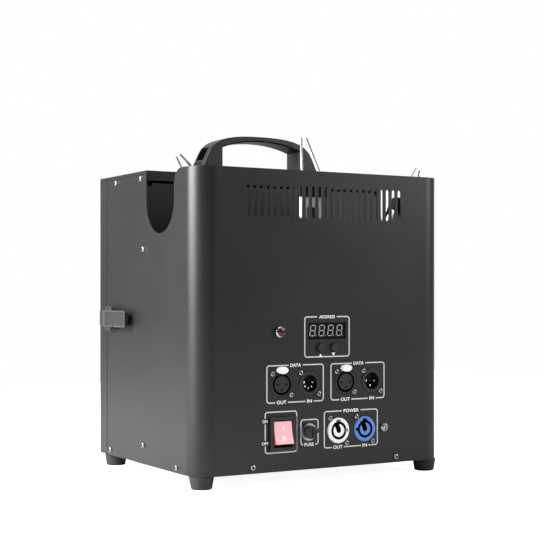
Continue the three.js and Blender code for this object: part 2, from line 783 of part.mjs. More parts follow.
function latchKeeper() {
  const l = latch;
  const half = l.bodyWidth / 2;
  const wallX = -halfWidth - gap;
  const rearY = l.keeperY + l.keeperWidth;
  return block(wallX - l.plate, wallX, l.keeperY, rearY, l.middleZ - half, l.middleZ + half);
}

// Indicator lamp: a turned bezel with its nut, and a domed lens in the bezel's mouth
function lampBezel() {
  const l = lamp;
  const mouth = l.lensRadius + gap;
  const bezel = turned([
    [0, -l.stemLength],
    [l.stemRadius, -l.stemLength],
    [l.stemRadius, gap],
    [l.radius, gap],
    [l.radius, l.reach - l.edge],
    [l.radius - l.edge, l.reach],
    [mouth, l.reach],
    [mouth, l.seat],
    [0, l.seat],
  ]);
  const nut = rod(l.radius + l.edge, -behindPanel - l.nut, -behindPanel, 6);
  return faceOut(join(bezel, nut));
}

function lampLens() {
  const l = lamp;
  const seat = l.seat + gap;
  const crown = l.reach + l.dome;
  return faceOut(turned([
    [0, seat],
    [l.lensRadius, seat],
    [l.lensRadius, l.reach],
    [l.lensRadius / 2, crown],
    [0, crown],
  ]));
}

// Display: a smoked window in the panel, in front of the digits' block
function displayWindow() {
  const d = display;
  return block(-d.width / 2, d.width / 2, d.sink, cabinet.sheet, -d.height / 2, d.height / 2);
}

function displayModule() {
  const d = display;
  const halfX = d.width / 2 + d.rim;
  const halfZ = d.height / 2 + d.rim;
  return block(-halfX, halfX, behindPanel, behindPanel + d.depth, -halfZ, halfZ);
}

// Push button: its skirt stops behind the panel
function pushButton() {
  const b = button;
  return faceOut(turned([
    [0, -b.length],
    [b.stemRadius, -b.length],
    [b.stemRadius, -behindPanel - b.skirt],
    [b.skirtRadius, -behindPanel - b.skirt],
    [b.skirtRadius, -behindPanel],
    [b.radius, -behindPanel],
    [b.radius, b.reach - b.edge],
    [b.radius - b.edge, b.reach],
    [0, b.reach],
  ], smallSides));
}

// Data sockets: a round housing that shows through the panel, with a square flange behind it
function socketHousing() {
  const s = socket;
  const outline = roundedRectangle(s.flangeHalf, s.flangeHalf, s.flange);
  return join(roundBarrel(s), prismY(outline, behindPanel, behindPanel + s.flange, 2));
}

function roundBarrel({ radius, reach, edge, depth }) {
  return faceOut(turned([
    [0, -depth],
    [radius, -depth],
    [radius, reach - edge],
    [radius - edge, reach],
    [0, reach],
  ]));
}

// Contacts lie on one circle, spread evenly about its lowest point
function contactPlaces(count) {
  const spread = count === 3 ? socket.threePoleSpread : socket.fivePoleSpread;
  return row(count, spread / (count - 1)).map((degrees) => {
    const turn = THREE.MathUtils.degToRad(degrees);
    return [socket.pinCircle * Math.sin(turn), -socket.pinCircle * Math.cos(turn)];
  });
}

function femaleSocket() {
  const s = socket;
  const bottom = s.reach - s.grooveDepth;
  const over = s.reach + overrun;
  const groove = faceOut(turned(ringProfile(s.insertRadius, s.grooveRadius, bottom, over)));
  const contacts = contactPlaces(3)
    .map(([x, z]) => rodY(s.contactRadius, x, z, -over, -bottom, coarseSides));
  const tabHole = move(tabBody(-over, tab.length + tab.travel + gap, tab.clearance), 0, 0, tab.offsetZ);
  return cut(socketHousing(), groove, ...contacts, tabHole);
}

function maleSocket(count) {
  const s = socket;
  const bottom = s.reach - s.cupDepth;
  const cup = faceOut(rod(s.cupRadius, bottom, s.reach + overrun, roundSides));
  const pins = contactPlaces(count)
    .map(([x, z]) => rodY(s.pinRadius, x, z, s.pinSink, overrun - bottom, coarseSides));
  return join(cut(socketHousing(), cup), ...pins);
}

// Oval release tab of a socket, or the hole that it moves in
function tabBody(y0, y1, clearance) {
  const shape = new THREE.Shape();
  shape.absellipse(0, 0, tab.halfWidth + clearance, tab.halfHeight + clearance, 0, 2 * Math.PI);
  return prismY(shape, y0, y1, smallSides);
}

// Mains coupler: a round groove with two keyways, round a core that one deep slot opens
function powerCoupler(side) {
  const p = power;
  const front = -p.reach - overrun;
  const back = p.grooveDepth - p.reach;
  const outline = roundedRectangle(p.flangeHalfX, p.flangeHalfZ, p.flange);
  const body = join(roundBarrel(p), prismY(outline, behindPanel, behindPanel + p.flange, 2));
  const groove = faceOut(turned(ringProfile(p.coreRadius, p.grooveRadius, -back, -front)));
  const halfSlot = p.slotWidth / 2;
  const slot = join(
    block(-halfSlot, halfSlot, front, back, 0, p.grooveRadius),
    rodY(halfSlot, 0, 0, front, back),
  ).rotate([0, p.slotTurn, 0]);
  const middle = rodY(p.coreRadius + gap, 0, 0, front - overrun, back + overrun);
  const topKey = block(-p.keyWidth / 2, p.keyWidth / 2, front, back, 0, p.keyReach);
  const sideEnd = side * p.keyReach;
  const halfKey = p.sideKeyWidth / 2;
  const sideKey = block(Math.min(0, sideEnd), Math.max(0, sideEnd), front, back, -halfKey, halfKey);
  return cut(body, groove, slot, cut(join(topKey, sideKey), middle));
}

// Fuse holder: a ring in front of the panel and a barrel behind, with a bayonet cap in its mouth
function fuseHolder() {
  const f = fuse;
  const ring = rod(f.nutRadius, gap, gap + f.nutReach, roundSides);
  const barrel = rod(f.bodyRadius, -f.bodyDepth, gap + f.nutReach);
  const bore = rod(f.stemRadius + gap, -f.stemLength - gap, f.nutReach + overrun);
  return faceOut(cut(join(ring, barrel), bore));
}

// Two crossed driver slots, cut down from a head's top
function crossSlots(reach, width, top, depth) {
  const half = width / 2;
  return [
    block(-reach, reach, -half, half, top - depth, top + overrun),
    block(-half, half, -reach, reach, top - depth, top + overrun),
  ];
}

function fuseCap() {
  const f = fuse;
  const seat = f.nutReach + 2 * gap;
  const body = turned([
    [0, -f.stemLength],
    [f.stemRadius, -f.stemLength],
    [f.stemRadius, seat],
    [f.capRadius, seat],
    [f.capRadius, f.capReach - f.edge],
    [f.capRadius - f.edge, f.capReach],
    [0, f.capReach],
  ]);
  return faceOut(cut(body, ...crossSlots(f.capRadius * f.slotShare, f.slotWidth, f.capReach, f.slotDepth)));
}

// Rocker switch: a snap-in bezel with a well, and the rocker on two short pins in its walls
function switchBezel() {
  const m = mains;
  const frame = block(-m.width / 2, m.width / 2, -m.reach, -gap, -m.height / 2, m.height / 2);
  const bodyZ = m.bodyHeight / 2;
  const body = block(-m.bodyWidth / 2, m.bodyWidth / 2, -m.reach, m.depth, -bodyZ, bodyZ);
  const wellX = m.rockerWidth / 2 + m.rockerClearance;
  const wellZ = Math.hypot(m.rockerHalf, m.rockerReach) + gap;
  const well = block(-wellX, wellX, -m.reach - overrun, m.wellDepth, -wellZ, wellZ);
  const pinHole = rodX(m.pinRadius + gap, m.pivotY, 0, -m.bodyWidth, m.bodyWidth);
  return cut(join(frame, body), well, pinHole);
}

// The rocker is drawn half way through its throw, then turned back so that its upper end is in
function switchRocker() {
  const m = mains;
  const side = new THREE.Shape();
  side.moveTo(-m.rockerReach, m.rockerHalf);
  side.quadraticCurveTo(m.rockerDish * 2 - m.rockerReach, 0, -m.rockerReach, -m.rockerHalf);
  side.lineTo(m.rockerHeel, -m.rockerHalf);
  side.lineTo(m.rockerBelly, 0);
  side.lineTo(m.rockerHeel, m.rockerHalf);
  const body = prismX(side, -m.rockerWidth / 2, m.rockerWidth / 2, coarseSides);
  const pinHalf = m.bodyWidth / 2 - gap;
  const pin = rodX(m.pinRadius, 0, 0, -pinHalf, pinHalf);
  return move(join(body, pin).rotate([-m.throwDegrees / 2, 0, 0]), 0, m.pivotY, 0);
}

function groundScrew() {
  const g = ground;
  const crown = g.radius * g.crownShare;
  const body = turned([
    [0, -g.stemLength],
    [g.stemRadius, -g.stemLength],
    [g.stemRadius, gap],
    [g.radius, gap],
    [g.radius, g.reach * g.crownShare],
    [crown, g.reach],
    [0, g.reach],
  ], smallSides);
  const nut = rod(g.radius, -behindPanel - g.nut, -behindPanel, 6);
  const driverSlots = crossSlots(g.radius * g.slotShare, g.slotWidth, g.reach, g.slotDepth);
  return faceOut(cut(join(body, nut), ...driverSlots));
}

// A head is drawn upright round its own axis, then tilted and set in the trough
function setHead(solid, { x, tilt, lift }, back = 0) {
  return solid.translate([0, back, 0]).rotate([0, tilt, 0]).translate([x, head.y, troughZ + lift]);
}

// Bracket: an upright sheet with a foot on the trough floor, a nozzle shelf and a black head block
function headBracket({ tilt, lift }) {
  const h = head;
  const sheet = cabinet.sheet;
  const level = (solid) => solid.translate([0, 0, -lift]).rotate([0, -tilt, 0]);
  const backY = h.uprightY + sheet;
  const capStart = h.bridgeEnd + gap;
  const capEnd = capStart + h.capHeight;
  const upright = block(-h.uprightHalf, h.uprightHalf, h.uprightY, backY, -h.uprightBelow, capEnd);
  const window = block(-h.windowHalf, h.windowHalf, h.uprightY - overrun, backY + overrun,
    h.shelfStart + sheet + h.windowRim, h.bridgeEnd - h.windowRim);
  const shelfY = h.uprightY + h.shelfDepth;
  const shelf = block(-h.shelfHalf, h.shelfHalf, h.uprightY, shelfY, h.shelfStart, h.shelfStart + sheet);
  const capHalfY = (h.capFront + h.uprightY) / 2;
  const capOutline = roundedRectangle(h.capHalf, capHalfY, h.capRound);
  const cap = move(prismZ(capOutline, capStart, capEnd, 3), 0, h.uprightY - capHalfY + gap, 0);
  const footY = h.uprightY + h.footDepth;
  const footPlate = level(block(-h.footHalf, h.footHalf, h.uprightY, footY, gap, gap + sheet));
  const clear = h.clearBelow;
  const below = level(block(-clear, clear, -clear, clear, -clear, gap));
  const rodHole = rod(h.boreRadius, capStart - overrun, capEnd + overrun);
  const rodHoles = bothSides.map((side) => move(rodHole, side * h.rodHalf, 0, 0));
  const tail = rod(nozzle.tailRadius + gap, 0, h.shelfStart + sheet + overrun);
  const tailHole = move(tail, 0, h.nozzleBack, 0);
  const lineHole = move(rod(gas.floorHole, -clear, h.shelfStart - overrun), 0, h.nozzleBack, 0);
  return cut(join(cut(upright, window), shelf, cap, footPlate), below, tailHole, lineHole, ...rodHoles);
}

// Insulator: two ceramic legs with a bridge between their upper ends
function ceramicHolder() {
  const h = head;
  const onBothSides = (solid) => bothSides.map((side) => move(solid, side * h.rodHalf, 0, 0));
  const legs = onBothSides(rod(h.ceramicRadius, h.ceramicStart, h.bridgeEnd));
  const bridge = block(-h.rodHalf, h.rodHalf, -h.bridgeHalf, h.bridgeHalf, h.bridgeStart, h.bridgeEnd);
  const bores = onBothSides(rod(h.boreRadius, h.ceramicStart - overrun, h.bridgeEnd + overrun));
  return cut(join(...legs, bridge), ...bores);
}

// A round bar along a path
function bar(path, radius) {
  const section = new THREE.Shape();
  section.absarc(0, 0, radius, 0, 2 * Math.PI);
  const curveSegments = coarseSides / 2;
  const options = { steps: barSteps, curveSegments, bevelEnabled: false, extrudePath: path };
  return toSolid(new THREE.ExtrudeGeometry(section, options));
}

// Electrode: straight through its ceramic leg, then bent in and back to its tip
function electrode({ rodBend, tipHalf, tipBack }, side) {
  const h = head;
  const corner = new THREE.Vector3(side * h.rodHalf, 0, rodBend);
  const start = new THREE.Vector3(side * h.rodHalf, 0, h.rodStart);
  const tip = new THREE.Vector3(side * tipHalf, tipBack, h.tipHeight);
  const bendStart = corner.clone().setZ(rodBend - h.rodBendRun);
  const bendEnd = corner.clone().add(tip.clone().sub(corner).setLength(h.rodBendRun));
  const path = new THREE.CurvePath();
  path.add(new THREE.LineCurve3(start, bendStart));
  path.add(new THREE.QuadraticBezierCurve3(bendStart, corner, bendEnd));
  path.add(new THREE.LineCurve3(bendEnd, tip));
  return bar(path, h.rodRadius);
}

function flameNozzle() {
  const n = nozzle;
  const seat = head.shelfStart + cabinet.sheet + gap;
  const end = seat + n.height;
  const hex = rod(n.hexRadius, seat, seat + n.hexHeight, 6);
  const jet = turned([
    [0, seat - n.tailLength],
    [n.tailRadius, seat - n.tailLength],
    [n.tailRadius, seat],
    [n.tubeRadius, seat],
    [n.tubeRadius, end - n.tipHeight],
    [n.tipRadius, end],
    [n.boreRadius, end],
    [n.boreRadius, end - n.boreDepth],
    [0, end - n.boreDepth],
  ], smallSides);
  return move(join(hex, jet), 0, head.nozzleBack, 0);
}

// Gas line: from a nozzle's tail down through the trough floor and back into its valve's port
function fuelLine({ x, tilt, lift, canX }) {
  const turn = THREE.MathUtils.degToRad(tilt);
  const axis = new THREE.Vector3(0, 1, 0);
  const down = new THREE.Vector3(0, 0, -gas.lineLead).applyAxisAngle(axis, turn);
  const tail = head.shelfStart + cabinet.sheet - nozzle.tailLength;
  const start = new THREE.Vector3(0, head.nozzleBack, tail).applyAxisAngle(axis, turn)
    .add(new THREE.Vector3(x, head.y, troughZ + lift));
  const straight = start.clone().add(down);
  const back = new THREE.Vector3(0, -2 * gas.lineLead, 0);
  const end = new THREE.Vector3(canX, valvePlateY() + gas.portDepth - gap, lineZ);
  const beforeEnd = end.clone().add(back);
  const below = straight.clone().add(down);
  const path = new THREE.CurvePath();
  path.add(new THREE.LineCurve3(start, straight));
  path.add(new THREE.CubicBezierCurve3(straight, below, beforeEnd.clone().add(back), beforeEnd));
  path.add(new THREE.LineCurve3(beforeEnd, end));
  return bar(path, gas.lineRadius);
}

const valvePlateY = () => partition.frontY + cabinet.sheet + gap;

// Valve rail: a plate on the partition with three valves, each with a can seat under it
function valveRail() {
  const g = gas;
  const plateY = valvePlateY();
  const rearY = plateY + cabinet.sheet;
  const plate = block(-railHalf, railHalf, plateY, rearY, topZ - g.railBottomDrop, topZ - g.railTopDrop);
  const blockZ = topZ - g.blockBottomDrop;
  const blockTop = blockZ + g.blockHeight;
  const seatZ = blockZ - g.seatHeight;
  const halfBlock = g.blockWidth / 2;
  const middleY = plateY + g.blockDepth / 2;
  const valve = join(
    block(-halfBlock, halfBlock, plateY, plateY + g.blockDepth, blockZ, blockTop),
    move(rod(g.coilRadius, blockTop - gap, blockTop + g.coilHeight), 0, middleY, 0),
    move(rod(g.seatRadius, seatZ, blockZ + gap), 0, middleY, 0),
  );
  const throat = move(rod(g.throatRadius, seatZ - overrun, blockZ), 0, middleY, 0);
  const port = rodY(g.portRadius, 0, lineZ, plateY - overrun, plateY + g.portDepth);
  const forEachCan = (solid) => heads.map(({ canX }) => move(solid, canX, 0, 0));
  return cut(join(plate, ...forEachCan(valve)), ...forEachCan(throat), ...forEachCan(port));
}

// Tray that the three fuel cans stand in
function canCradle() {
  const c = cradle;
  const halfX = innerX - c.sideInset;
  const rearY = wallEnd - c.rearInset;
  const seatRadius = (rearY - c.frontY) * c.seatShare;
  const upperZ = insideZ + c.height;
  const tray = block(-halfX, halfX, c.frontY, rearY, insideZ, upperZ);
  const seat = rod(seatRadius, insideZ + c.rim, upperZ + overrun, roundSides);
  const seats = heads.map(({ canX }) => move(seat, canX, (c.frontY + rearY) / 2, 0));
  return cut(tray, ...seats);
}

function powerSupply() {
  const s = supply;
  const shape = roundedRectangle(s.width / 2, s.height / 2, s.edge);
  const frontY = s.middleY - s.depth / 2;
  return move(prismY(shape, frontY, frontY + s.depth, 2), 0, 0, insideZ + s.height / 2);
}

function ignitionModule() {
  const m = igniter;
  const rearY = partition.frontY - gap;
  const frontY = rearY - m.depth;
  const z0 = troughZ - m.drop - m.height / 2;
  const z1 = z0 + m.height;
  const body = block(-m.width / 2, m.width / 2, frontY, rearY, z0, z1);
  const halfRib = m.rib / 2;
  const ribs = row(m.ribCount, m.width / m.ribCount)
    .map((x) => block(x - halfRib, x + halfRib, frontY - m.rib, frontY + m.rib, z0, z1));
  return join(body, ...ribs);
}

// Control board on four posts from the panel, beside the lamp and under the trough floor
function controlBoard() {
  const b = board;
  const lowest = socket.z + socket.flangeHalf;
  const highest = troughZ - trough.edge;
  const middleZ = (lowest + highest) / 2;
  const halfHeight = (highest - lowest) * b.heightShare / 2;
  const rearY = b.y + b.thickness;
  const halfX = -lamp.x - lamp.radius - b.lampGap;
  const plate = block(-halfX, halfX, b.y, rearY, middleZ - halfHeight, middleZ + halfHeight);
  const postX = halfX - b.postInset;
  const postZ = halfHeight - b.postInset;
  const post = rodY(b.postRadius, 0, middleZ, behindPanel, rearY, coarseSides);
  const posts = bothSides.flatMap((sx) => bothSides.map((sz) => move(post, sx * postX, 0, sz * postZ)));
  const half = b.partSize / 2;
  const chips = bothSides.map((side) => {
    const x = side * b.partX;
    return block(x - half, x + half, b.y, rearY + b.partDepth, middleZ - half, middleZ + half);
  });
  return join(plate, ...posts, ...chips);
}

// Cabinet
place('front_shell', 'powderCoat', frontShell());
place('base_plate', 'powderCoat', basePlate());
place('partition_wall', 'powderCoat', partitionWall());
place('trough_floor', 'innerSteel', troughFloor());
place('top_lid', 'powderCoat', topLid());
place('rear_door', 'powderCoat', rearDoor());
place('carry_handle', 'blackPlastic', carryHandle(), [0, handle.frontY, lidTopZ + gap]);
for (const [name, [x, y]] of Object.entries(footPlaces())) {
  place(`foot_${name}`, 'blackRubber', rubberFoot(), [x, y, 0]);
}
place('hinge_frame_leaf', 'brightSteel', hingeLeaf(-1));
place('hinge_door_leaf', 'brightSteel', hingeLeaf(1));
const latchAt = [0, wallEnd - latch.lead, 0];
place('latch_base', 'innerSteel', latchBase(), latchAt);
place('latch_lever', 'innerSteel', latchLever(), latchAt);
place('latch_claw', 'brightSteel', latchClaw(), latchAt);
place('latch_keeper', 'brightSteel', latchKeeper(), latchAt);

// Control panel
place('lamp_bezel', 'chrome', lampBezel(), [lamp.x, 0, lamp.z]);
place('lamp_lens', 'redLens', lampLens(), [lamp.x, 0, lamp.z]);
place('display_window', 'smokedWindow', displayWindow(), [display.x, 0, display.z]);
place('display_module', 'blackPlastic', displayModule(), [display.x, 0, display.z]);
const [upX, downX] = buttonXs();
place('button_up', 'blackPlastic', pushButton(), [upX, 0, button.z]);
place('button_down', 'blackPlastic', pushButton(), [downX, 0, button.z]);
['left', 'right'].forEach((side, i) => {
  const [femaleX, maleX] = [socket.femaleXs[i], socket.maleXs[i]];
  place(`data_out_${side}`, 'blackPlastic', femaleSocket(), [femaleX, 0, socket.z]);
  place(`data_in_${side}`, 'blackPlastic', maleSocket(i === 0 ? 5 : 3), [maleX, 0, socket.z]);
  const tabAt = [femaleX, 0, socket.z + tab.offsetZ];
  place(`release_tab_${side}`, 'whitePlastic', tabBody(-tab.reach, tab.length, 0), tabAt);
});
place('power_outlet', 'whitePlastic', powerCoupler(1), [power.outletX, 0, power.z]);
place('power_inlet', 'bluePlastic', powerCoupler(-1), [power.inletX, 0, power.z]);
place('fuse_holder', 'brightSteel', fuseHolder(), [fuse.x, 0, fuse.z]);
place('fuse_cap', 'blackPlastic', fuseCap(), [fuse.x, 0, fuse.z]);
place('switch_bezel', 'blackPlastic', switchBezel(), [mains.x, 0, mains.z]);
place('switch_rocker', 'redPlastic', switchRocker(), [mains.x, 0, mains.z]);
place('ground_screw', 'brightSteel', groundScrew(), [ground.x, 0, ground.z]);

// Flame heads
for (const where of heads) {
  place(`head_bracket_${where.side}`, 'innerSteel', setHead(headBracket(where), where));
  place(`ceramic_holder_${where.side}`, 'ceramic', setHead(ceramicHolder(), where));
  place(`nozzle_${where.side}`, 'brass', setHead(flameNozzle(), where));
  place(`electrode_${where.side}_a`, 'brightSteel', setHead(electrode(where, -1), where));
  place(`electrode_${where.side}_b`, 'brightSteel', setHead(electrode(where, 1), where));
  place(`fuel_line_${where.side}`, 'hose', fuelLine(where));
}

// Inside the cabinet
place('valve_manifold', 'brightSteel', valveRail());
place('can_cradle', 'blackPlastic', canCradle());
place('power_supply', 'brightSteel', powerSupply());
place('ignition_module', 'blackPlastic', ignitionModule());
place('control_board', 'circuitBoard', controlBoard());

// The origin goes under the middle of the whole: lever and hinge at the sides, fuse cap and door in depth
const leftEdge = -halfWidth - latch.leverReach;
const rightEdge = halfWidth + gap + 2 * hinge.knuckleRadius;
const frontEdge = -fuse.capReach;
cabinetFrame.position.set(-(leftEdge + rightEdge) / 2, -(frontEdge + cabinet.depth) / 2, 0);

const machine = new THREE.Group();
machine.add(cabinetFrame);

export default machine;
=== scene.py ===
# %% [markdown]
# # A stage flame machine
# The real object is a black powder coated steel cabinet that throws three flames at a show. The model of its
# solids comes from the CAD tool as a fixed frame, and this lesson dresses it: worn edges, finishes, screws,
# printing, digits and fittings. The solids could be drawn again here, but their places are settled, so the
# lesson takes them as they are and adds only what a close look would miss.

# %% Load the frame
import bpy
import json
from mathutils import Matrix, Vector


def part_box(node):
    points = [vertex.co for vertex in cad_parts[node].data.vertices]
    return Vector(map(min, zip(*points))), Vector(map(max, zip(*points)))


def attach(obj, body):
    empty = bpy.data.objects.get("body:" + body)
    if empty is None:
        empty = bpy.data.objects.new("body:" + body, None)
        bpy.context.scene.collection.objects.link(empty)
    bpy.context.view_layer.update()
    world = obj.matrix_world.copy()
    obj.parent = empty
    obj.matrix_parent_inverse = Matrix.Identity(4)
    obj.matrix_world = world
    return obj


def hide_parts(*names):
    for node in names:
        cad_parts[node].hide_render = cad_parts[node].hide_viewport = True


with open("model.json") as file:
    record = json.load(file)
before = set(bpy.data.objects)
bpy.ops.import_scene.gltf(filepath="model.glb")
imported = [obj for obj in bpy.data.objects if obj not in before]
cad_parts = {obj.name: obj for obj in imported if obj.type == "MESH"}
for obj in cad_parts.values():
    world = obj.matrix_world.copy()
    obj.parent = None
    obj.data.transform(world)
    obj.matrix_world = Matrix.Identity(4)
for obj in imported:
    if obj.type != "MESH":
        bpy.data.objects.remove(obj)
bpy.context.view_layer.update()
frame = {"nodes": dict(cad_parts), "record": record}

# %% [markdown]
# ## Camera
# A product photograph like this is taken from low down with a long lens, so that upright edges stay upright.
# The camera could be tilted up at the cabinet, but then its edges would lean. It is kept level and its picture
# is shifted instead, as an architect's camera does.

# %% Camera
from math import cos, radians, sin, tan

import bpy
import bmesh
from mathutils import Matrix, Vector

camera_place = (-0.64554, -1.10410, 0.17591)
camera_turn = -30.34
sensor_width = 36
focal_length = 85.436
picture_shift = 0.0395
bpy.ops.object.camera_add(location=camera_place, rotation=(radians(90), 0, radians(camera_turn)))
camera = bpy.context.object
camera.name = "photo_camera"
camera.data.sensor_width = sensor_width
camera.data.lens = focal_length
camera.data.shift_y = picture_shift
bpy.context.scene.camera = camera
bpy.context.scene.view_settings.view_transform = "Standard"
print("camera is", round((camera.location - Vector((0, 0, camera.location.z))).length, 3), "m away")

# %% [markdown]
# ## Floor and world
# The photograph has a pure white ground with hardly any shadow. A very bright floor would do that, but its
# light would also wash out the black cabinet. So the floor and the world are white to the camera and through
# glass, by Light Path, and the floor still keeps part of the machine's soft shadow. In a studio only the
# backdrop is white. So mirrored rays that go towards it meet white too, and those that go towards the camera's
# side meet a dim room and a floor with no glow. A world of one brightness would be simpler, but the panel's
# lacquer would mirror it and turn flat grey.

# %% Floor and world
floor_reach = 2.4
floor_grey = 0.62
floor_glow = 0.94
mirrored_floor_glow = 0
world_glow = 0.55
room_glow = 0.12
backdrop_way = (0.505, 0.863, 0)
backdrop_edge = (0.5, 0.95)


def seen_directly(tree, *kinds):
    """A value that is 1 for rays of these kinds, and 0 for all others."""
    path = tree.nodes.new("ShaderNodeLightPath")
    value = path.outputs[kinds[0]]
    for kind in kinds[1:]:
        larger = tree.nodes.new("ShaderNodeMath")
        larger.operation = "MAXIMUM"
        tree.links.new(value, larger.inputs[0])
        tree.links.new(path.outputs[kind], larger.inputs[1])
        value = larger.outputs[0]
    return value


def ramp(tree, value, low, high, **limits):
    """A value moved from one range to another, a smooth one if asked."""
    node = tree.nodes.new("ShaderNodeMapRange")
    node.interpolation_type = limits.get("kind", "LINEAR")
    node.inputs["From Min"].default_value = limits.get("start", 0)
    node.inputs["From Max"].default_value = limits.get("end", 1)
    for name, amount in (("To Min", low), ("To Max", high)):
        if isinstance(amount, bpy.types.NodeSocket):
            tree.links.new(amount, node.inputs[name])
        else:
            node.inputs[name].default_value = amount
    tree.links.new(value, node.inputs["Value"])
    return node.outputs[0]


bpy.ops.mesh.primitive_plane_add(size=floor_reach, location=(0, 0, 0))
floor = bpy.context.object
floor.name = "studio_floor"
floor_paint = bpy.data.materials.new("studio_floor_paint")
floor_paint.use_nodes = True
tree = floor_paint.node_tree
tree.nodes.clear()
matt = tree.nodes.new("ShaderNodeBsdfDiffuse")
matt.inputs["Color"].default_value = (floor_grey, floor_grey, floor_grey, 1)
white = tree.nodes.new("ShaderNodeEmission")
mirrored = ramp(tree, seen_directly(tree, "Is Glossy Ray"), 0, mirrored_floor_glow)
direct = seen_directly(tree, "Is Camera Ray", "Is Transmission Ray")
tree.links.new(ramp(tree, direct, mirrored, floor_glow), white.inputs["Strength"])
blend = tree.nodes.new("ShaderNodeAddShader")
tree.links.new(matt.outputs[0], blend.inputs[0])
tree.links.new(white.outputs[0], blend.inputs[1])
output = tree.nodes.new("ShaderNodeOutputMaterial")
tree.links.new(blend.outputs[0], output.inputs["Surface"])
floor.data.materials.append(floor_paint)

world = bpy.data.worlds.new("studio_world")
bpy.context.scene.world = world
world.use_nodes = True
tree = world.node_tree
sky = tree.nodes["Background"]
sky.inputs["Color"].default_value = (1, 1, 1, 1)
way = tree.nodes.new("ShaderNodeTexCoord")
facing = tree.nodes.new("ShaderNodeVectorMath")
facing.operation = "DOT_PRODUCT"
facing.inputs[1].default_value = backdrop_way
tree.links.new(way.outputs["Generated"], facing.inputs[0])
mirrored = ramp(tree, facing.outputs["Value"], room_glow, 1, start=backdrop_edge[0], end=backdrop_edge[1],
                kind="SMOOTHSTEP")
unseen = ramp(tree, seen_directly(tree, "Is Glossy Ray"), world_glow, mirrored)
strength = ramp(tree, seen_directly(tree, "Is Camera Ray", "Is Transmission Ray"), unseen, 1)
tree.links.new(strength, sky.inputs["Strength"])
print("floor is", floor_reach, "m wide and glows by", floor_glow)

# %% [markdown]
# ## Lamps
# The bright upright band on the cabinet's near bend is the mirror image of a soft box to the left, a little
# behind the machine. One is put there, high, so that the band fades downwards. One broad lamp above gives the
# lid and handle their shape, and one at the right lights the panel's upper right. A single big lamp in front
# would light the object, but not draw its bend.

# %% Lamps


def soft_box(name, at, look_at, width, height, power):
    """A rectangular lamp at one point, turned to another."""
    bpy.ops.object.light_add(type="AREA", location=at)
    lamp = bpy.context.object
    lamp.name = name
    lamp.data.shape = "RECTANGLE"
    lamp.data.size = width
    lamp.data.size_y = height
    lamp.data.energy = power
    lamp.rotation_euler = (Vector(look_at) - Vector(at)).to_track_quat("-Z", "Y").to_euler()


soft_box("left_soft_box", (-1.28, 0.24, 0.7), (-0.13, -0.08, 0.16), 0.9, 0.8, 76)
soft_box("top_soft_box", (0.1, -0.2, 1.9), (0, 0, 0.2), 1.6, 1.6, 10)
soft_box("right_soft_box", (1.4, -1.05, 0.85), (0.05, -0.1, 0.15), 0.8, 0.8, 20)
print("three soft boxes placed")

# %% [markdown]
# ## Working by hand in code
# Blender's operators act on whatever is selected, so each step first clears the selection, as a careful
# modeller does. These few helpers choose one object, open it for editing, and pick faces by place or direction.

# %% Helpers for selecting
mm = 0.001


def only(piece=None):
    """Leaves edit mode, and selects this piece alone."""
    if bpy.context.object and bpy.context.object.mode != "OBJECT":
        bpy.ops.object.mode_set(mode="OBJECT")
    bpy.ops.object.select_all(action="DESELECT")
    if piece:
        piece.select_set(True)
        bpy.context.view_layer.objects.active = piece


def edit(piece, kind="FACE"):
    """Opens this piece in edit mode with nothing selected."""
    only(piece)
    bpy.ops.object.mode_set(mode="EDIT")
    bpy.ops.mesh.select_mode(type=kind)
    bpy.ops.mesh.select_all(action="DESELECT")


def pick(piece, test):
    """In edit mode, selects the faces whose middle and direction pass the test."""
    mesh = bmesh.from_edit_mesh(piece.data)
    for face in mesh.faces:
        face.select_set(bool(test(face.calc_center_median(), face.normal)))
    mesh.select_flush_mode()
    bmesh.update_edit_mesh(piece.data)


def done():
    """Back to object mode."""
    bpy.ops.object.mode_set(mode="OBJECT")


def apply_place(piece):
    """Makes the piece's place, turn and size part of its mesh."""
    only(piece)
    bpy.ops.object.transform_apply(location=True, rotation=True, scale=True)


def with_modifier(piece, kind, **settings):
    """Adds a modifier, sets it, and applies it."""
    only(piece)
    modifier = piece.modifiers.new(kind.lower(), kind)
    for name, value in settings.items():
        setattr(modifier, name, value)
    bpy.ops.object.modifier_apply(modifier=modifier.name)


print("helpers ready")

# %% [markdown]
# ## Shared shader effects
# Powder coat, moulded plastic, rubber and plated steel all have a fine grain, worn edges and faint marks of
# handling. The edges are lightened in patches, which stands for wear and also paints a highlight along them.
# Each effect is built once as a node group with inputs and outputs, so that every finish uses it with values of
# its own. Pictures could be used as textures, but a pattern made of numbers stays sharp at any distance.

# %% Shader groups


def new_group(name, inputs, outputs):
    """A shader group with number inputs and number outputs."""
    group = bpy.data.node_groups.new(name, "ShaderNodeTree")
    for label, value in inputs.items():
        socket = group.interface.new_socket(name=label, in_out="INPUT", socket_type="NodeSocketFloat")
        socket.default_value = value
    for label in outputs:
        group.interface.new_socket(name=label, in_out="OUTPUT", socket_type="NodeSocketFloat")
    return group, group.nodes.new("NodeGroupInput"), group.nodes.new("NodeGroupOutput")


def add(tree, kind, **settings):
    """A node with its settings."""
    node = tree.nodes.new(kind)
    for name, value in settings.items():
        setattr(node, name, value)
    return node


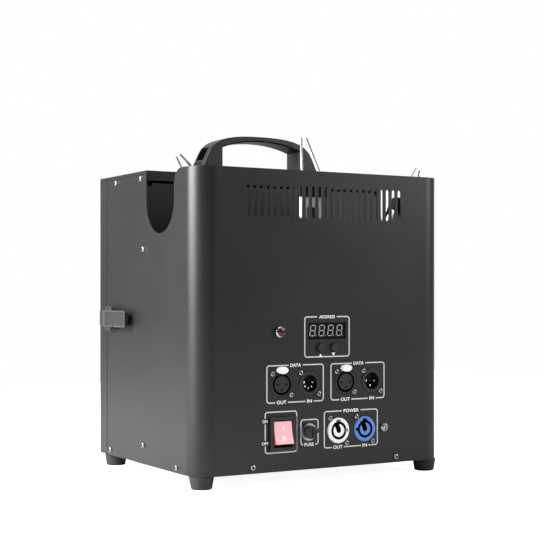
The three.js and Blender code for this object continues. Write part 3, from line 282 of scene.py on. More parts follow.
grain_group, given, result = new_group("fine_grain", {"Scale": 900.0}, ["Height", "Speckle"])
place = add(grain_group, "ShaderNodeTexCoord")
fine = add(grain_group, "ShaderNodeTexNoise")
fine.inputs["Detail"].default_value = 3
cells = add(grain_group, "ShaderNodeTexVoronoi", feature="SMOOTH_F1")
both = add(grain_group, "ShaderNodeMath", operation="ADD")
links = grain_group.links
links.new(place.outputs["Object"], fine.inputs["Vector"])
links.new(place.outputs["Object"], cells.inputs["Vector"])
links.new(given.outputs["Scale"], fine.inputs["Scale"])
links.new(given.outputs["Scale"], cells.inputs["Scale"])
links.new(fine.outputs["Fac"], both.inputs[0])
links.new(cells.outputs["Distance"], both.inputs[1])
links.new(both.outputs[0], result.inputs["Height"])
spots = ramp(grain_group, fine.outputs["Fac"], 0, 1, start=0.4, end=0.75)
links.new(spots, result.inputs["Speckle"])

# Lightens edges in patches, for wear and as a painted highlight along them.
edge_wear_highlight_group, given, result = new_group("worn_and_highlit_edges", {"Radius": 0.0006, "Amount": 0.5}, ["Mask"])
round_edge = add(edge_wear_highlight_group, "ShaderNodeBevel", samples=6)
true_face = add(edge_wear_highlight_group, "ShaderNodeNewGeometry")
bend = add(edge_wear_highlight_group, "ShaderNodeVectorMath", operation="DOT_PRODUCT")
place = add(edge_wear_highlight_group, "ShaderNodeTexCoord")
patches = add(edge_wear_highlight_group, "ShaderNodeTexNoise")
patches.inputs["Scale"].default_value = 160
patches.inputs["Detail"].default_value = 4
chipped_and_lit = add(edge_wear_highlight_group, "ShaderNodeMath", operation="MULTIPLY")
scaled = add(edge_wear_highlight_group, "ShaderNodeMath", operation="MULTIPLY")
links = edge_wear_highlight_group.links
links.new(given.outputs["Radius"], round_edge.inputs["Radius"])
links.new(round_edge.outputs["Normal"], bend.inputs[0])
links.new(true_face.outputs["Normal"], bend.inputs[1])
links.new(place.outputs["Object"], patches.inputs["Vector"])
links.new(ramp(edge_wear_highlight_group, bend.outputs["Value"], 0, 1, start=0.995, end=0.9), chipped_and_lit.inputs[0])
links.new(ramp(edge_wear_highlight_group, patches.outputs["Fac"], 0, 1, start=0.35, end=0.7), chipped_and_lit.inputs[1])
links.new(chipped_and_lit.outputs[0], scaled.inputs[0])
links.new(given.outputs["Amount"], scaled.inputs[1])
links.new(scaled.outputs[0], result.inputs["Mask"])

marks_group, given, result = new_group("handling_marks", {"Scale": 12.0}, ["Marks"])
place = add(marks_group, "ShaderNodeTexCoord")
broad = add(marks_group, "ShaderNodeTexNoise")
broad.inputs["Detail"].default_value = 6
broad.inputs["Roughness"].default_value = 0.6
links = marks_group.links
links.new(place.outputs["Object"], broad.inputs["Vector"])
links.new(given.outputs["Scale"], broad.inputs["Scale"])
links.new(broad.outputs["Fac"], result.inputs["Marks"])
print("groups:", [group.name for group in bpy.data.node_groups])

# %% [markdown]
# ## Finishes
# One recipe serves most finishes: two close colours mixed by the grain's speckle, a lighter third on the edges,
# which is wear and a painted highlight at once, a roughness that wanders with the handling marks, and a bump
# from
# the grain. The values differ: powder coat has a coarse bump and half gloss, moulded plastic a finer one, rubber
# is nearly matt, plating is all mirror.

# %% Recipe for a finish
finishes = {}


def group_node(tree, group, **values):
    """One of the shared groups, with its input values."""
    node = tree.nodes.new("ShaderNodeGroup")
    node.node_tree = group
    for name, value in values.items():
        node.inputs[name].default_value = value
    return node


def mix_colours(tree, share, first, second):
    """A mix of two colours, each a plain colour or another node's output."""
    mix = add(tree, "ShaderNodeMix", data_type="RGBA")
    tree.links.new(share, mix.inputs["Factor"])
    for socket, colour in ((mix.inputs[6], first), (mix.inputs[7], second)):
        if isinstance(colour, bpy.types.NodeSocket):
            tree.links.new(colour, socket)
        else:
            socket.default_value = (*colour, 1)
    return mix.outputs[2]


def new_finish(name, colour, speckle, worn_and_lit_colour, rough, metallic=0, grain=900, height=0.02, wear_and_highlight=0.4, radius=0.5,
               shine=0.5):
    """A material in the common recipe: three colours, two roughnesses, grain per metre, sizes in millimetres."""
    material = bpy.data.materials.new(name)
    material.use_nodes = True
    tree = material.node_tree
    shader = tree.nodes["Principled BSDF"]
    shader.inputs["Metallic"].default_value = metallic
    shader.inputs["Specular IOR Level"].default_value = shine
    grain_node = group_node(tree, grain_group, Scale=grain)
    edge_wear_highlight_node = group_node(tree, edge_wear_highlight_group, Radius=radius * mm, Amount=wear_and_highlight)
    marks_node = group_node(tree, marks_group)
    base = mix_colours(tree, grain_node.outputs["Speckle"], colour, speckle)
    # The edges take the lighter third colour, as wear and as a painted highlight.
    painted = mix_colours(tree, edge_wear_highlight_node.outputs["Mask"], base, worn_and_lit_colour)
    tree.links.new(painted, shader.inputs["Base Color"])
    gloss = ramp(tree, marks_node.outputs["Marks"], *rough, start=0.3, end=0.7)
    tree.links.new(gloss, shader.inputs["Roughness"])
    bump = add(tree, "ShaderNodeBump")
    bump.inputs["Strength"].default_value = 0.6
    bump.inputs["Distance"].default_value = height * mm
    tree.links.new(grain_node.outputs["Height"], bump.inputs["Height"])
    tree.links.new(bump.outputs[0], shader.inputs["Normal"])
    finishes[name] = material


# %% [markdown]
# ### Black finishes
# The shell's powder coat is a satin black with an orange peel surface. Inside, the sheet is black paint, made
# darker and duller than the shell's to paint in the shade inside the trough.
# The handle and socket housings are moulded, so their grain is finer and their lightened edges, worn and
# highlit, only turn grey.

# %% Black finishes
new_finish("powder_coat", (0.006, 0.006, 0.0065), (0.013, 0.013, 0.014), (0.09, 0.09, 0.095), (0.34, 0.4),
           grain=1400, height=0.05, wear_and_highlight=0.4, shine=0.4)
# The inside sheet is darker and duller than the shell, as painted shade.
new_finish("inner_steel", (0.002, 0.002, 0.0022), (0.004, 0.004, 0.0042), (0.05, 0.05, 0.05), (0.5, 0.62),
           grain=1100, height=0.02, wear_and_highlight=0.4, shine=0.15)
# The latch's edges are lightened strongly, as wear and as a painted highlight.
new_finish("latch_sheet", (0.012, 0.012, 0.0125), (0.018, 0.018, 0.019), (0.3, 0.3, 0.3), (0.36, 0.46),
           grain=1100, height=0.02, wear_and_highlight=0.7)
new_finish("black_plastic", (0.006, 0.006, 0.0065), (0.011, 0.011, 0.012), (0.07, 0.07, 0.07), (0.36, 0.5),
           grain=1800, height=0.015, wear_and_highlight=0.3, shine=0.45)
new_finish("black_rubber", (0.012, 0.012, 0.012), (0.022, 0.022, 0.022), (0.05, 0.05, 0.05), (0.7, 0.85),
           grain=1200, height=0.03, wear_and_highlight=0.5)
new_finish("hose", (0.016, 0.016, 0.018), (0.04, 0.04, 0.045), (0.08, 0.08, 0.08), (0.5, 0.65),
           grain=1600, height=0.1, wear_and_highlight=0.2)
# The screws' cross recess: near black, a painted shade.
new_finish("screw_recess_shade", (0.012, 0.012, 0.013), (0.02, 0.02, 0.021), (0.1, 0.1, 0.1), (0.5, 0.6),
           grain=2000, height=0.005, wear_and_highlight=0.3, radius=0.3)
print("black finishes:", list(finishes))

# %% [markdown]
# ### Metal, ceramic and coloured finishes
# Plated steel and chrome differ mostly in roughness. The nozzles are turned brass, dulled by heat. The ceramic
# is white with a thin glaze. The coloured plastics of the mains couplers show which one lets power in.

# %% Bright and coloured finishes
new_finish("bright_steel", (0.38, 0.385, 0.4), (0.46, 0.46, 0.47), (0.7, 0.7, 0.7), (0.22, 0.38), metallic=1,
           grain=700, height=0.004, wear_and_highlight=0.6)
new_finish("chrome", (0.5, 0.5, 0.51), (0.55, 0.55, 0.56), (0.8, 0.8, 0.8), (0.1, 0.18), metallic=1,
           grain=500, height=0.001, wear_and_highlight=0.4, radius=0.3)
new_finish("brass", (0.44, 0.33, 0.14), (0.55, 0.43, 0.2), (0.7, 0.58, 0.32), (0.25, 0.42), metallic=1,
           grain=900, height=0.004, wear_and_highlight=0.6)
new_finish("ceramic", (0.78, 0.77, 0.73), (0.84, 0.83, 0.8), (0.9, 0.9, 0.88), (0.2, 0.35),
           grain=600, height=0.01, wear_and_highlight=0.2)
new_finish("white_plastic", (0.74, 0.74, 0.73), (0.8, 0.8, 0.79), (0.88, 0.88, 0.87), (0.3, 0.42),
           grain=1600, height=0.008, wear_and_highlight=0.3, radius=0.3)
new_finish("blue_plastic", (0.07, 0.18, 0.52), (0.09, 0.22, 0.58), (0.4, 0.55, 0.85), (0.3, 0.42),
           grain=1600, height=0.008, wear_and_highlight=0.4, radius=0.3)
new_finish("red_plastic", (0.62, 0.07, 0.09), (0.68, 0.1, 0.12), (0.85, 0.35, 0.36), (0.16, 0.26),
           grain=500, height=0.004, wear_and_highlight=0.5, radius=0.6)
new_finish("red_lens", (0.05, 0.002, 0.003), (0.08, 0.004, 0.005), (0.3, 0.05, 0.05), (0.05, 0.1),
           grain=500, height=0.001, wear_and_highlight=0.2, radius=0.3)
new_finish("smoked_window", (0.004, 0.004, 0.005), (0.006, 0.006, 0.007), (0.03, 0.03, 0.03), (0.06, 0.12),
           grain=600, height=0.001, wear_and_highlight=0.2, radius=0.3)
new_finish("circuit_board", (0.012, 0.09, 0.035), (0.02, 0.14, 0.05), (0.3, 0.26, 0.12), (0.3, 0.4),
           grain=400, height=0.02, wear_and_highlight=0.5)
new_finish("panel_print", (0.5, 0.5, 0.5), (0.58, 0.58, 0.58), (0.6, 0.6, 0.6), (0.5, 0.6),
           grain=1500, height=0.004, wear_and_highlight=0.1, radius=0.05)
new_finish("word_print", (0.85, 0.85, 0.85), (0.9, 0.9, 0.9), (0.9, 0.9, 0.9), (0.5, 0.6),
           grain=1500, height=0.004, wear_and_highlight=0.1, radius=0.05)
# The rocker's front faces: a pale pink that paints a sheen over the red.
new_finish("rocker_face_sheen", (0.8, 0.42, 0.45), (0.84, 0.5, 0.53), (0.85, 0.4, 0.42), (0.14, 0.22),
           grain=500, height=0.004, wear_and_highlight=0.4, radius=0.6)
new_finish("digit_grey", (0.26, 0.26, 0.27), (0.3, 0.3, 0.31), (0.34, 0.34, 0.34), (0.4, 0.5),
           grain=1500, height=0.002, wear_and_highlight=0.1, radius=0.05)
new_finish("silver_contact", (0.78, 0.77, 0.75), (0.84, 0.83, 0.81), (0.9, 0.9, 0.9), (0.18, 0.3), metallic=1,
           grain=900, height=0.002, wear_and_highlight=0.3, radius=0.2)
print(len(finishes), "finishes")

# %% [markdown]
# ## Two wider bends
# The CAD solids fold the front panel into the side walls with a radius of 9 mm. The bright band on the near
# bend and the curve of its lower edge show a softer fold of about 20 mm, so the dressed copies of the shell and
# of the two shelves inside it get it. The walls are first cut where the new bend will start, so that only the
# strip beyond the cut moves. A second cut keeps a narrow flat strip beside each bend, so that the smooth shading
# of the bend ends there. The panel is also cut between its rows of openings, because one face with so many holes
# would be filled in wrongly. A bevel on the old bend would not know which of its many edges to follow.

# %% Widen the bends
shell_middle = 0.65 * mm
shell_half = 135.5 * mm
panel_y = -104 * mm
cad_bend = 9 * mm
real_bend = 20 * mm
strip = 3 * mm
inner_corner = 18 * mm
row_gaps = (70.5 * mm, 117.5 * mm, 200 * mm)
bent_nodes = ("front_shell", "base_plate", "trough_floor")


def bend_point(across, depth):
    """Where a point of the old corner goes, both counted inwards from the sharp corner."""
    arm = Vector((cad_bend - across, cad_bend - depth))
    if arm.length < mm:
        way, reach = Vector((1, 1)).normalized(), inner_corner
    else:
        way, reach = arm.normalized(), arm.length + real_bend - cad_bend
    return real_bend - way.x * reach, real_bend - way.y * reach


def cut_all(planes):
    """In edit mode, cuts every face on these planes, each a point and a direction."""
    for point, direction in planes:
        bpy.ops.mesh.select_all(action="SELECT")
        bpy.ops.mesh.bisect(plane_co=point, plane_no=direction)
    bpy.ops.mesh.select_all(action="SELECT")


def cut_walls(reach):
    """In edit mode, cuts the walls on three planes, at one distance inwards from the sharp corners."""
    cut_all([((shell_middle + side * (shell_half - reach), 0, 0), (1, 0, 0)) for side in (-1, 1)])
    cut_all([((0, panel_y + reach, 0), (0, 1, 0))])


def widen_bends(piece):
    """Gives a dressed copy the wider bend at both ends of the panel."""
    edit(piece, "VERT")
    cut_all([((0, 0, height), (0, 0, 1)) for height in row_gaps])
    cut_all([((shell_middle, 0, 0), (1, 0, 0))])
    cut_walls(real_bend)
    done()
    for vertex in piece.data.vertices:
        side = 1 if vertex.co.x > shell_middle else -1
        across = shell_half - side * (vertex.co.x - shell_middle)
        depth = vertex.co.y - panel_y
        if max(across, depth) < cad_bend + 0.5 * mm:
            across, depth = bend_point(across, depth)
            vertex.co.x = shell_middle + side * (shell_half - across)
            vertex.co.y = panel_y + depth
    edit(piece, "VERT")
    bpy.ops.mesh.select_all(action="SELECT")
    bpy.ops.mesh.remove_doubles(threshold=0.02 * mm)
    cut_walls(real_bend + strip)
    done()


print("bends go from", round(cad_bend / mm, 1), "to", round(real_bend / mm, 1), "mm")

# %% [markdown]
# ## Dressing the solids
# Folded sheet and moulded plastic have no knife edges: each corner has a small round that catches the light.
# The CAD solids are sharp, and made of loose triangles. Each gets a copy whose triangles are merged and joined
# into whole faces, then its edges are beveled and its curves smoothed. A bump effect could fake the round, but
# a real bevel also shows in the outline.

# %% Dress one solid
usual_smooth = 38


def settle(piece, name, slot, body, nodes=(), finish=None, smooth=usual_smooth):
    """Applies a piece's place, smooths and paints it, and hangs it on its body."""
    apply_place(piece)
    bpy.ops.object.shade_smooth_by_angle(angle=radians(smooth))
    piece.name = name
    piece.data.name = name
    if piece.data.materials:
        piece.data.materials[0] = finishes[finish or slot]
    else:
        piece.data.materials.append(finishes[finish or slot])
    if nodes:
        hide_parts(*nodes)
    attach(piece, body)


def merged_copy(node):
    """A CAD solid's mesh as a new object, its triangles merged into whole faces."""
    piece = bpy.data.objects.new(node + "_dressed", frame["nodes"][node].data.copy())
    bpy.context.scene.collection.objects.link(piece)
    edit(piece, "VERT")
    bpy.ops.mesh.select_all(action="SELECT")
    bpy.ops.mesh.remove_doubles(threshold=0.002 * mm)
    bpy.ops.mesh.customdata_custom_splitnormals_clear()
    bpy.ops.mesh.dissolve_limited(angle_limit=radians(0.5))
    done()
    return piece


def even_out(piece, corners=12, area=300 * mm * mm):
    """Shades the broad flat faces, which have many corners, by their own direction alone."""
    edit(piece)
    mesh = bmesh.from_edit_mesh(piece.data)
    for face in mesh.faces:
        face.select_set(len(face.verts) > corners and face.calc_area() > area)
    bmesh.update_edit_mesh(piece.data)
    bpy.ops.mesh.faces_shade_flat()
    done()


def dress(node, slot, body, edge, smooth):
    """A node's copy with rounded edges, in its finish."""
    piece = merged_copy(node)
    if node in bent_nodes:
        widen_bends(piece)
    with_modifier(piece, "BEVEL", width=edge * mm, segments=2, limit_method="ANGLE",
                  angle_limit=radians(smooth), use_clamp_overlap=True, miter_outer="MITER_ARC")
    settle(piece, node + "_dressed", slot, body, [node], smooth=smooth)
    even_out(piece)
    with_modifier(piece, "WEIGHTED_NORMAL", keep_sharp=True)


behaviour = frame["record"]["behaviour"]
body_of = {node: body for body, nodes in behaviour["bodies"].items() for node in nodes}
slot_of = {part["node"]: part["material_slot"] for part in frame["record"]["subparts"]}
edges = {"powder_coat": 0.25, "inner_steel": 0.2, "black_plastic": 0.35, "black_rubber": 0.6,
         "bright_steel": 0.2, "chrome": 0.2, "ceramic": 0.5, "brass": 0.2, "white_plastic": 0.3,
         "blue_plastic": 0.3, "red_plastic": 0.5, "red_lens": 0.1, "smoked_window": 0.1, "hose": 0.1,
         "circuit_board": 0.1}
wire_smooth = 50
for node in sorted(slot_of):
    slot = slot_of[node]
    is_wire = slot == "hose" or node.startswith("electrode")
    dress(node, slot, body_of[node], edges[slot], wire_smooth if is_wire else usual_smooth)
print(len(slot_of), "solids dressed")

# %% [markdown]
# ## Second finishes
# A few solids are two materials in one on the real machine. The mains couplers are coloured only in front: down
# their grooves the plastic is black. A part could be split in two for this, but giving the deeper faces a second
# finish keeps the mould in one piece. The four pieces of the latch share a paint of their own, lighter than the
# sheet inside, with strongly lightened edges that are wear and a painted highlight at once.

# %% Black grooves and a painted latch


def second_finish(piece, finish, test):
    """Gives the faces of a painted piece that pass the test another finish."""
    piece.data.materials.append(finishes[finish])
    edit(piece)
    pick(piece, test)
    piece.active_material_index = len(piece.data.materials) - 1
    bpy.ops.object.material_slot_assign()
    done()


groove_radius = 8.8 * mm
groove_start = 1.2 * mm
for node in ("power_outlet", "power_inlet"):
    low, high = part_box(node)
    axis = Vector(((low[0] + high[0]) / 2, 0, (low[2] + high[2]) / 2))
    second_finish(bpy.data.objects[node + "_dressed"], "black_plastic",
                  lambda at, facing: at.y > low[1] + groove_start
                  and Vector((at.x - axis.x, 0, at.z - axis.z)).length < groove_radius)
for node in ("latch_base", "latch_lever", "latch_claw", "latch_keeper"):
    bpy.data.objects[node + "_dressed"].data.materials[0] = finishes["latch_sheet"]
print("couplers are black inside, the latch is painted")

# %% [markdown]
# ## Printing on the panel
# A real panel is screen printed: thin rounded frames show which fittings belong together, and short words sit
# in the gaps of their lines. The frames could be a texture, but real geometry gives a crisp edge close up. A
# plane gets its corners beveled and is inset to a line, and gaps are cut where a word goes.

# %% One printed frame
ink = 0.06 * mm
print_gap = 0.01 * mm
line_width = 1.1 * mm
frame_corner = 3 * mm


def flat_on_panel(x0, x1, z0, z1):
    """A plane on the panel that faces out of it, given in millimetres."""
    only()
    middle = ((x0 + x1) / 2 * mm, panel_y - print_gap, (z0 + z1) / 2 * mm)
    bpy.ops.mesh.primitive_plane_add(size=1, location=middle, rotation=(radians(90), 0, 0))
    piece = bpy.context.object
    piece.scale = ((x1 - x0) * mm, (z1 - z0) * mm, 1)
    apply_place(piece)
    return piece


def round_corners(piece, radius, segments):
    """Rounds the corners of a flat piece."""
    edit(piece, "VERT")
    bpy.ops.mesh.select_all(action="SELECT")
    bpy.ops.mesh.bevel(offset=radius, segments=segments, affect="VERTICES")
    done()


def keep_rim(piece, width):
    """Insets a flat piece and deletes its middle, which leaves a rim of this width."""
    edit(piece)
    bpy.ops.mesh.select_all(action="SELECT")
    bpy.ops.mesh.inset(thickness=width)
    bpy.ops.mesh.delete(type="FACE")
    done()


def cut_gap(piece, across, from_mm, to_mm, test):
    """Removes the part of a line between two places along an axis, where the test holds."""
    direction = Vector((1, 0, 0) if across == "X" else (0, 0, 1))
    edit(piece)
    cut_all([(direction * end * mm, direction) for end in (from_mm, to_mm)])
    bpy.ops.mesh.select_all(action="DESELECT")
    pick(piece, lambda at, facing: from_mm * mm < at.dot(direction) < to_mm * mm and test(at))
    bpy.ops.mesh.delete(type="FACE")
    done()


def printed_frame(x0, x1, z0, z1, top=(), bottom=(), left=(), right=()):
    """A rounded line round a group, with gaps as (middle, half width) on each side."""
    piece = flat_on_panel(x0, x1, z0, z1)
    round_corners(piece, frame_corner, 5)
    keep_rim(piece, line_width)
    near = frame_corner + line_width
    sides = ((top, "X", lambda at: at.z > z1 * mm - near),
             (bottom, "X", lambda at: at.z < z0 * mm + near),
             (left, "Z", lambda at: at.x < x0 * mm + near),
             (right, "Z", lambda at: at.x > x1 * mm - near))
    for gaps, across, test in sides:
        for middle, half in gaps:
            cut_gap(piece, across, middle - half, middle + half, test)
    return piece


def join_all(pieces):
    """Joins pieces into the first of them."""
    only(pieces[0])
    for piece in pieces[1:]:
        piece.select_set(True)
    bpy.ops.object.join()
    return pieces[0]


print("a frame's line is", line_width / mm, "mm wide")

# %% [markdown]
# Six frames group the panel: the display, two pairs of data sockets, the switch, the fuse and the mains
# couplers. All are one layer of ink, so they become one piece, thickened by a hair.

# %% The six frames
panel_frames = join_all([
    printed_frame(-23.75, 26.35, 114.8, 152.9, top=[(1.15, 11)]),
    printed_frame(-64.05, -2.45, 74.2, 109.0, top=[(-33.05, 7.6)], bottom=[(-48.05, 6.8), (-18.05, 4.6)]),
    printed_frame(4.95, 66.35, 74.2, 109.0, top=[(36.55, 7.6)], bottom=[(21.55, 6.8), (51.55, 4.6)]),
    printed_frame(-65.75, -31.35, 28.9, 67.0, left=[(58.3, 2.6), (38.3, 2.6)]),
    printed_frame(-27.85, -8.15, 34.3, 58.4, bottom=[(-18.45, 6.6)], right=[(47, 2)]),
    printed_frame(-2.45, 58.55, 30.0, 64.8, top=[(28.15, 10.6)], bottom=[(13.15, 6.6), (43.45, 4.2)]),
])
with_modifier(panel_frames, "SOLIDIFY", thickness=ink, offset=1)
settle(panel_frames, "panel_frames", "white_plastic", "housing", finish="panel_print")
print(len(panel_frames.data.polygons), "faces of printed line")

# %% [markdown]
# The words say only what each fitting does. The text tool draws them, and they are made mesh and scaled to
# their printed size. Drawing each letter as a curve would give the same shapes with far more work. Each row
# below holds a word, then its middle across and up, its width and its height.

# %% Words and arrows
words = [("ADDRESS", 1.15, 152.3, 17.1, 2.9),
         ("DATA", -33.05, 108.4, 11.4, 3.0), ("DATA", 36.55, 108.4, 11.4, 3.0),
         ("OUT", -48.05, 74.9, 10.2, 3.2), ("IN", -18.05, 74.9, 5.2, 3.0), ("OUT", 21.55, 74.9, 10.2, 3.2),
         ("IN", 51.55, 74.9, 5.2, 3.0), ("POWER", 28.15, 64.2, 17.2, 3.1), ("OUT", 13.15, 30.7, 10.2, 3.2),
         ("IN", 43.45, 30.7, 5.2, 3.0), ("FUSE", -18.45, 35.0, 10.1, 3.0), ("ON", -65.4, 58.3, 5.4, 2.7),
         ("OFF", -65.2, 38.3, 6.8, 2.7)]
arrow_size = (3.6, 3.0)


def fit_to(piece, x, z, width, height):
    """Scales flat work to a printed size and puts it on the panel."""
    corners = [Vector(corner) for corner in piece.bound_box]
    low = Vector(min(corner[i] for corner in corners) for i in range(3))
    high = Vector(max(corner[i] for corner in corners) for i in range(3))
    middle = (low + high) / 2
    size = high - low
    grow = Matrix.Diagonal((width * mm / size.x, height * mm / size.y, 1, 1))
    stand = Matrix.Translation((x * mm, panel_y - print_gap, z * mm)) @ Matrix.Rotation(radians(90), 4, "X")
    piece.matrix_world = stand @ grow @ Matrix.Translation((-middle.x, -middle.y, 0))
    apply_place(piece)
    return piece


def printed_word(word, x, z, width, height):
    """A short word as flat mesh on the panel."""
    only()
    bpy.ops.object.text_add()
    text = bpy.context.object
    text.data.body = word
    text.data.resolution_u = 4
    text.data.offset = 0.01
    bpy.ops.object.convert(target="MESH")
    return fit_to(bpy.context.object, x, z, width, height)


def arrow(x, z, turn):
    """A printed triangle that points up, or down if turned by 180 degrees."""
    only()
    bpy.ops.mesh.primitive_circle_add(vertices=3, radius=1, fill_type="NGON", rotation=(0, 0, radians(turn)))
    piece = bpy.context.object
    apply_place(piece)
    return fit_to(piece, x, z, *arrow_size)


flat_words = [printed_word(*word) for word in words] + [arrow(-6.05, 116.9, 0), arrow(8.35, 117.4, 180)]
panel_words = join_all(flat_words)
with_modifier(panel_words, "SOLIDIFY", thickness=ink * 1.2, offset=1)
settle(panel_words, "panel_words", "white_plastic", "housing", finish="word_print")
print(len(words), "words and two arrows")

# %% [markdown]
# ## Digits
# The display is dark, but the unlit segments of its four digits still show grey behind the window. A segment
# is a thin bar with pointed ends. One digit is set from seven of them, leaning as such displays do, and the
# other three are copies. A font would need the right typeface, and bars need only one plane.

# %% One digit and its copies
digit_lean = 7
digit_height = 9.6
digit_width = 5.3
digit_pitch = 9.75
bar_width = 0.95
bar_point = 0.45
first_digit = (-14.0, 139.6)
window_y = -103.2 * mm


def segment(x, z, length, turn):
    """A pointed bar about a point, given in millimetres and degrees."""
    only()
    bpy.ops.mesh.primitive_plane_add(size=1)
    piece = bpy.context.object
    piece.scale = (length * mm, bar_width * mm, 1)
    apply_place(piece)
    round_corners(piece, bar_point * mm, 1)
    stand = Matrix.Translation((x * mm, window_y, z * mm)) @ Matrix.Rotation(radians(-turn), 4, "Y")
    piece.matrix_world = stand @ Matrix.Rotation(radians(90), 4, "X")
    apply_place(piece)
    return piece


def digit_bar(side, rise, length, turn):
    """A bar of the first digit: 1 to the right or -1 to the left of its middle, and so many millimetres up."""
    lean = rise * tan(radians(digit_lean))
    return segment(first_digit[0] + side * digit_width / 2 + lean, first_digit[1] + rise, length, turn)


bars = [digit_bar(0, step * digit_height / 2, digit_width - 1.1, 0) for step in (-1, 0, 1)]
bars += [digit_bar(side, step * digit_height / 4, digit_height / 2 - 0.3, 90 - digit_lean)
         for side in (-1, 1) for step in (-1, 1)]
bars.append(segment(first_digit[0] + digit_width / 2 + 0.9, first_digit[1] - digit_height / 2, 1.1, 0))
digit = join_all(bars)
digits = [digit]
for step in (1, 2, 3):
    only(digit)
    bpy.ops.object.duplicate(linked=False)
    bpy.ops.transform.translate(value=(step * digit_pitch * mm, 0, 0))
    digits.append(bpy.context.object)
display_digits = join_all(digits)
with_modifier(display_digits, "SOLIDIFY", thickness=0.04 * mm, offset=1)
settle(display_digits, "display_digits", "smoked_window", "housing", finish="digit_grey")
print("four digits, each of", len(bars), "bars")

# %% [markdown]
# ## Screws
# The machine is put together with cross recessed pan head screws. One is turned from a cylinder, its rim is
# rounded, and a cross is cut in with a boolean, whose faces get a near black finish as painted shade. Every
# other screw is a copy with a mesh of its own, turned on by a step about its axis, as no fitter lines them up.

# %% One pan head screw
screw_radius = 2.55
screw_height = 1.7


def cross_tool(length, width, depth, top):
    """Two crossed bars that reach down from a height, all in millimetres."""
    bars = []
    for turn in (0, 90):
        only()
        bpy.ops.mesh.primitive_cube_add(size=1, location=(0, 0, (top - depth / 2) * mm))
        bar = bpy.context.object
        bar.scale = (length * mm, width * mm, depth * mm)
        bar.rotation_euler = (0, 0, radians(turn))
        apply_place(bar)
        bars.append(bar)
    return bars


def take_away(piece, tools):
    """Cuts the tools out of the piece, then deletes them."""
    for tool in tools:
        with_modifier(piece, "BOOLEAN", operation="DIFFERENCE", object=tool, solver="EXACT")
        bpy.data.objects.remove(tool, do_unlink=True)


def round_top(piece, radius):
    """Rounds the upper rim of a turned piece."""
    edit(piece)
    pick(piece, lambda at, facing: facing.z > 0.9)
    bpy.ops.mesh.bevel(offset=radius, segments=4, affect="EDGES")
    done()


def pan_screw(radius, height):
    """A pan head with painted shade in its cross recess, standing on the origin."""
    only()
    bpy.ops.mesh.primitive_cylinder_add(vertices=28, radius=radius * mm, depth=height * mm,
                                        location=(0, 0, height / 2 * mm))
    piece = bpy.context.object
    apply_place(piece)
    round_top(piece, height * 0.55 * mm)
    take_away(piece, cross_tool(radius * 1.3, radius * 0.42, height * 0.7, height + 0.1))
    piece.data.materials.append(finishes["bright_steel"])
    inside = radius * 0.7 * mm
    # The recess faces get the dark finish, as painted shade.
    second_finish(piece, "screw_recess_shade",
                  lambda at, facing: Vector((at.x, at.y)).length < inside and at.z > 0
                  and (facing.z < 0.3 or at.z < height / 2 * mm))
    return piece


panel_screw = pan_screw(screw_radius, screw_height)
print("a screw has", len(panel_screw.data.polygons), "faces")

# %% [markdown]
# The screws sit where the fittings and folded sheets need them: two by each socket and coupler, two through
# the panel's foot into the base, six in each side wall and five in each leaf of the hinge.

# %% All the screws
out_of_panel = (radians(90), 0, 0)
out_of_left = (0, radians(-90), 0)
out_of_right = (0, radians(90), 0)
turn_step = 1.9


def copies(master, places, name, slot, body, finish=None, grow=1):
    """Copies of one piece at many (point in millimetres, turn), joined, and painted."""
    made = []
    for number, (at, turn) in enumerate(places):
        piece = bpy.data.objects.new(name, master.data.copy())
        bpy.context.scene.collection.objects.link(piece)
        own_turn = Matrix.Rotation(number * turn_step, 4, "Z")
        size = Matrix.Diagonal((grow, grow, grow, 1))
        spot = Matrix.Translation(Vector(at) * mm)
        from_euler = Matrix.Rotation(turn[1], 4, "Y") @ Matrix.Rotation(turn[0], 4, "X")
        piece.matrix_world = spot @ from_euler @ own_turn @ size
        made.append(piece)
    settle(join_all(made), name, slot, body, finish=finish)


face = -104
socket_z = 91.2
coupler_z = 46.1
socket_screws = [((x + dx, face, socket_z + dz), out_of_panel) for x in (-47.95, -17.85, 21.65, 51.45)
                 for dx, dz in ((-9.8, 9.8), (9.8, -9.8))]
coupler_screws = [((x + dx, face, coupler_z + dz), out_of_panel) for x in (13.55, 43.15)
                  for dx, dz in ((-9.3, 12), (9.3, -12))]
panel_foot_screws = [((x, face, 17.5), out_of_panel) for x in (-78.15, 79.55)]
copies(panel_screw, socket_screws + coupler_screws, "fitting_screws", "bright_steel", "housing", grow=0.86)
copies(panel_screw, panel_foot_screws, "panel_foot_screws", "bright_steel", "housing")
left_wall = -134.85
right_wall = 136.15
hinge_face = 137.65
wall_places = [(70.5, 283.3), (11.9, 283.3), (6.4, 215.9), (6.4, 29.8), (84.4, 17.5), (-65.0, 16.9)]
wall_screws = [((left_wall, *place), out_of_left) for place in wall_places]
wall_screws += [((right_wall, *place), out_of_right) for place in wall_places]
copies(panel_screw, wall_screws, "wall_screws", "bright_steel", "housing")
for leaf_y, name, body in ((84.5, "hinge_frame_screws", "housing"), (102.0, "hinge_door_screws", "rear_door")):
    leaf_screws = [((hinge_face, leaf_y, z), out_of_right) for z in (62, 104, 147, 190, 232)]
    copies(panel_screw, leaf_screws, name, "bright_steel", body, grow=0.8)
print("screws in five groups")

# %% [markdown]
# The brackets of the flame heads are screwed to the trough floor, the feet to the base, the gas rail to the
# partition, and the latch keeper to the door's edge. Most of these screws show only from above, from below or
# with the door open.

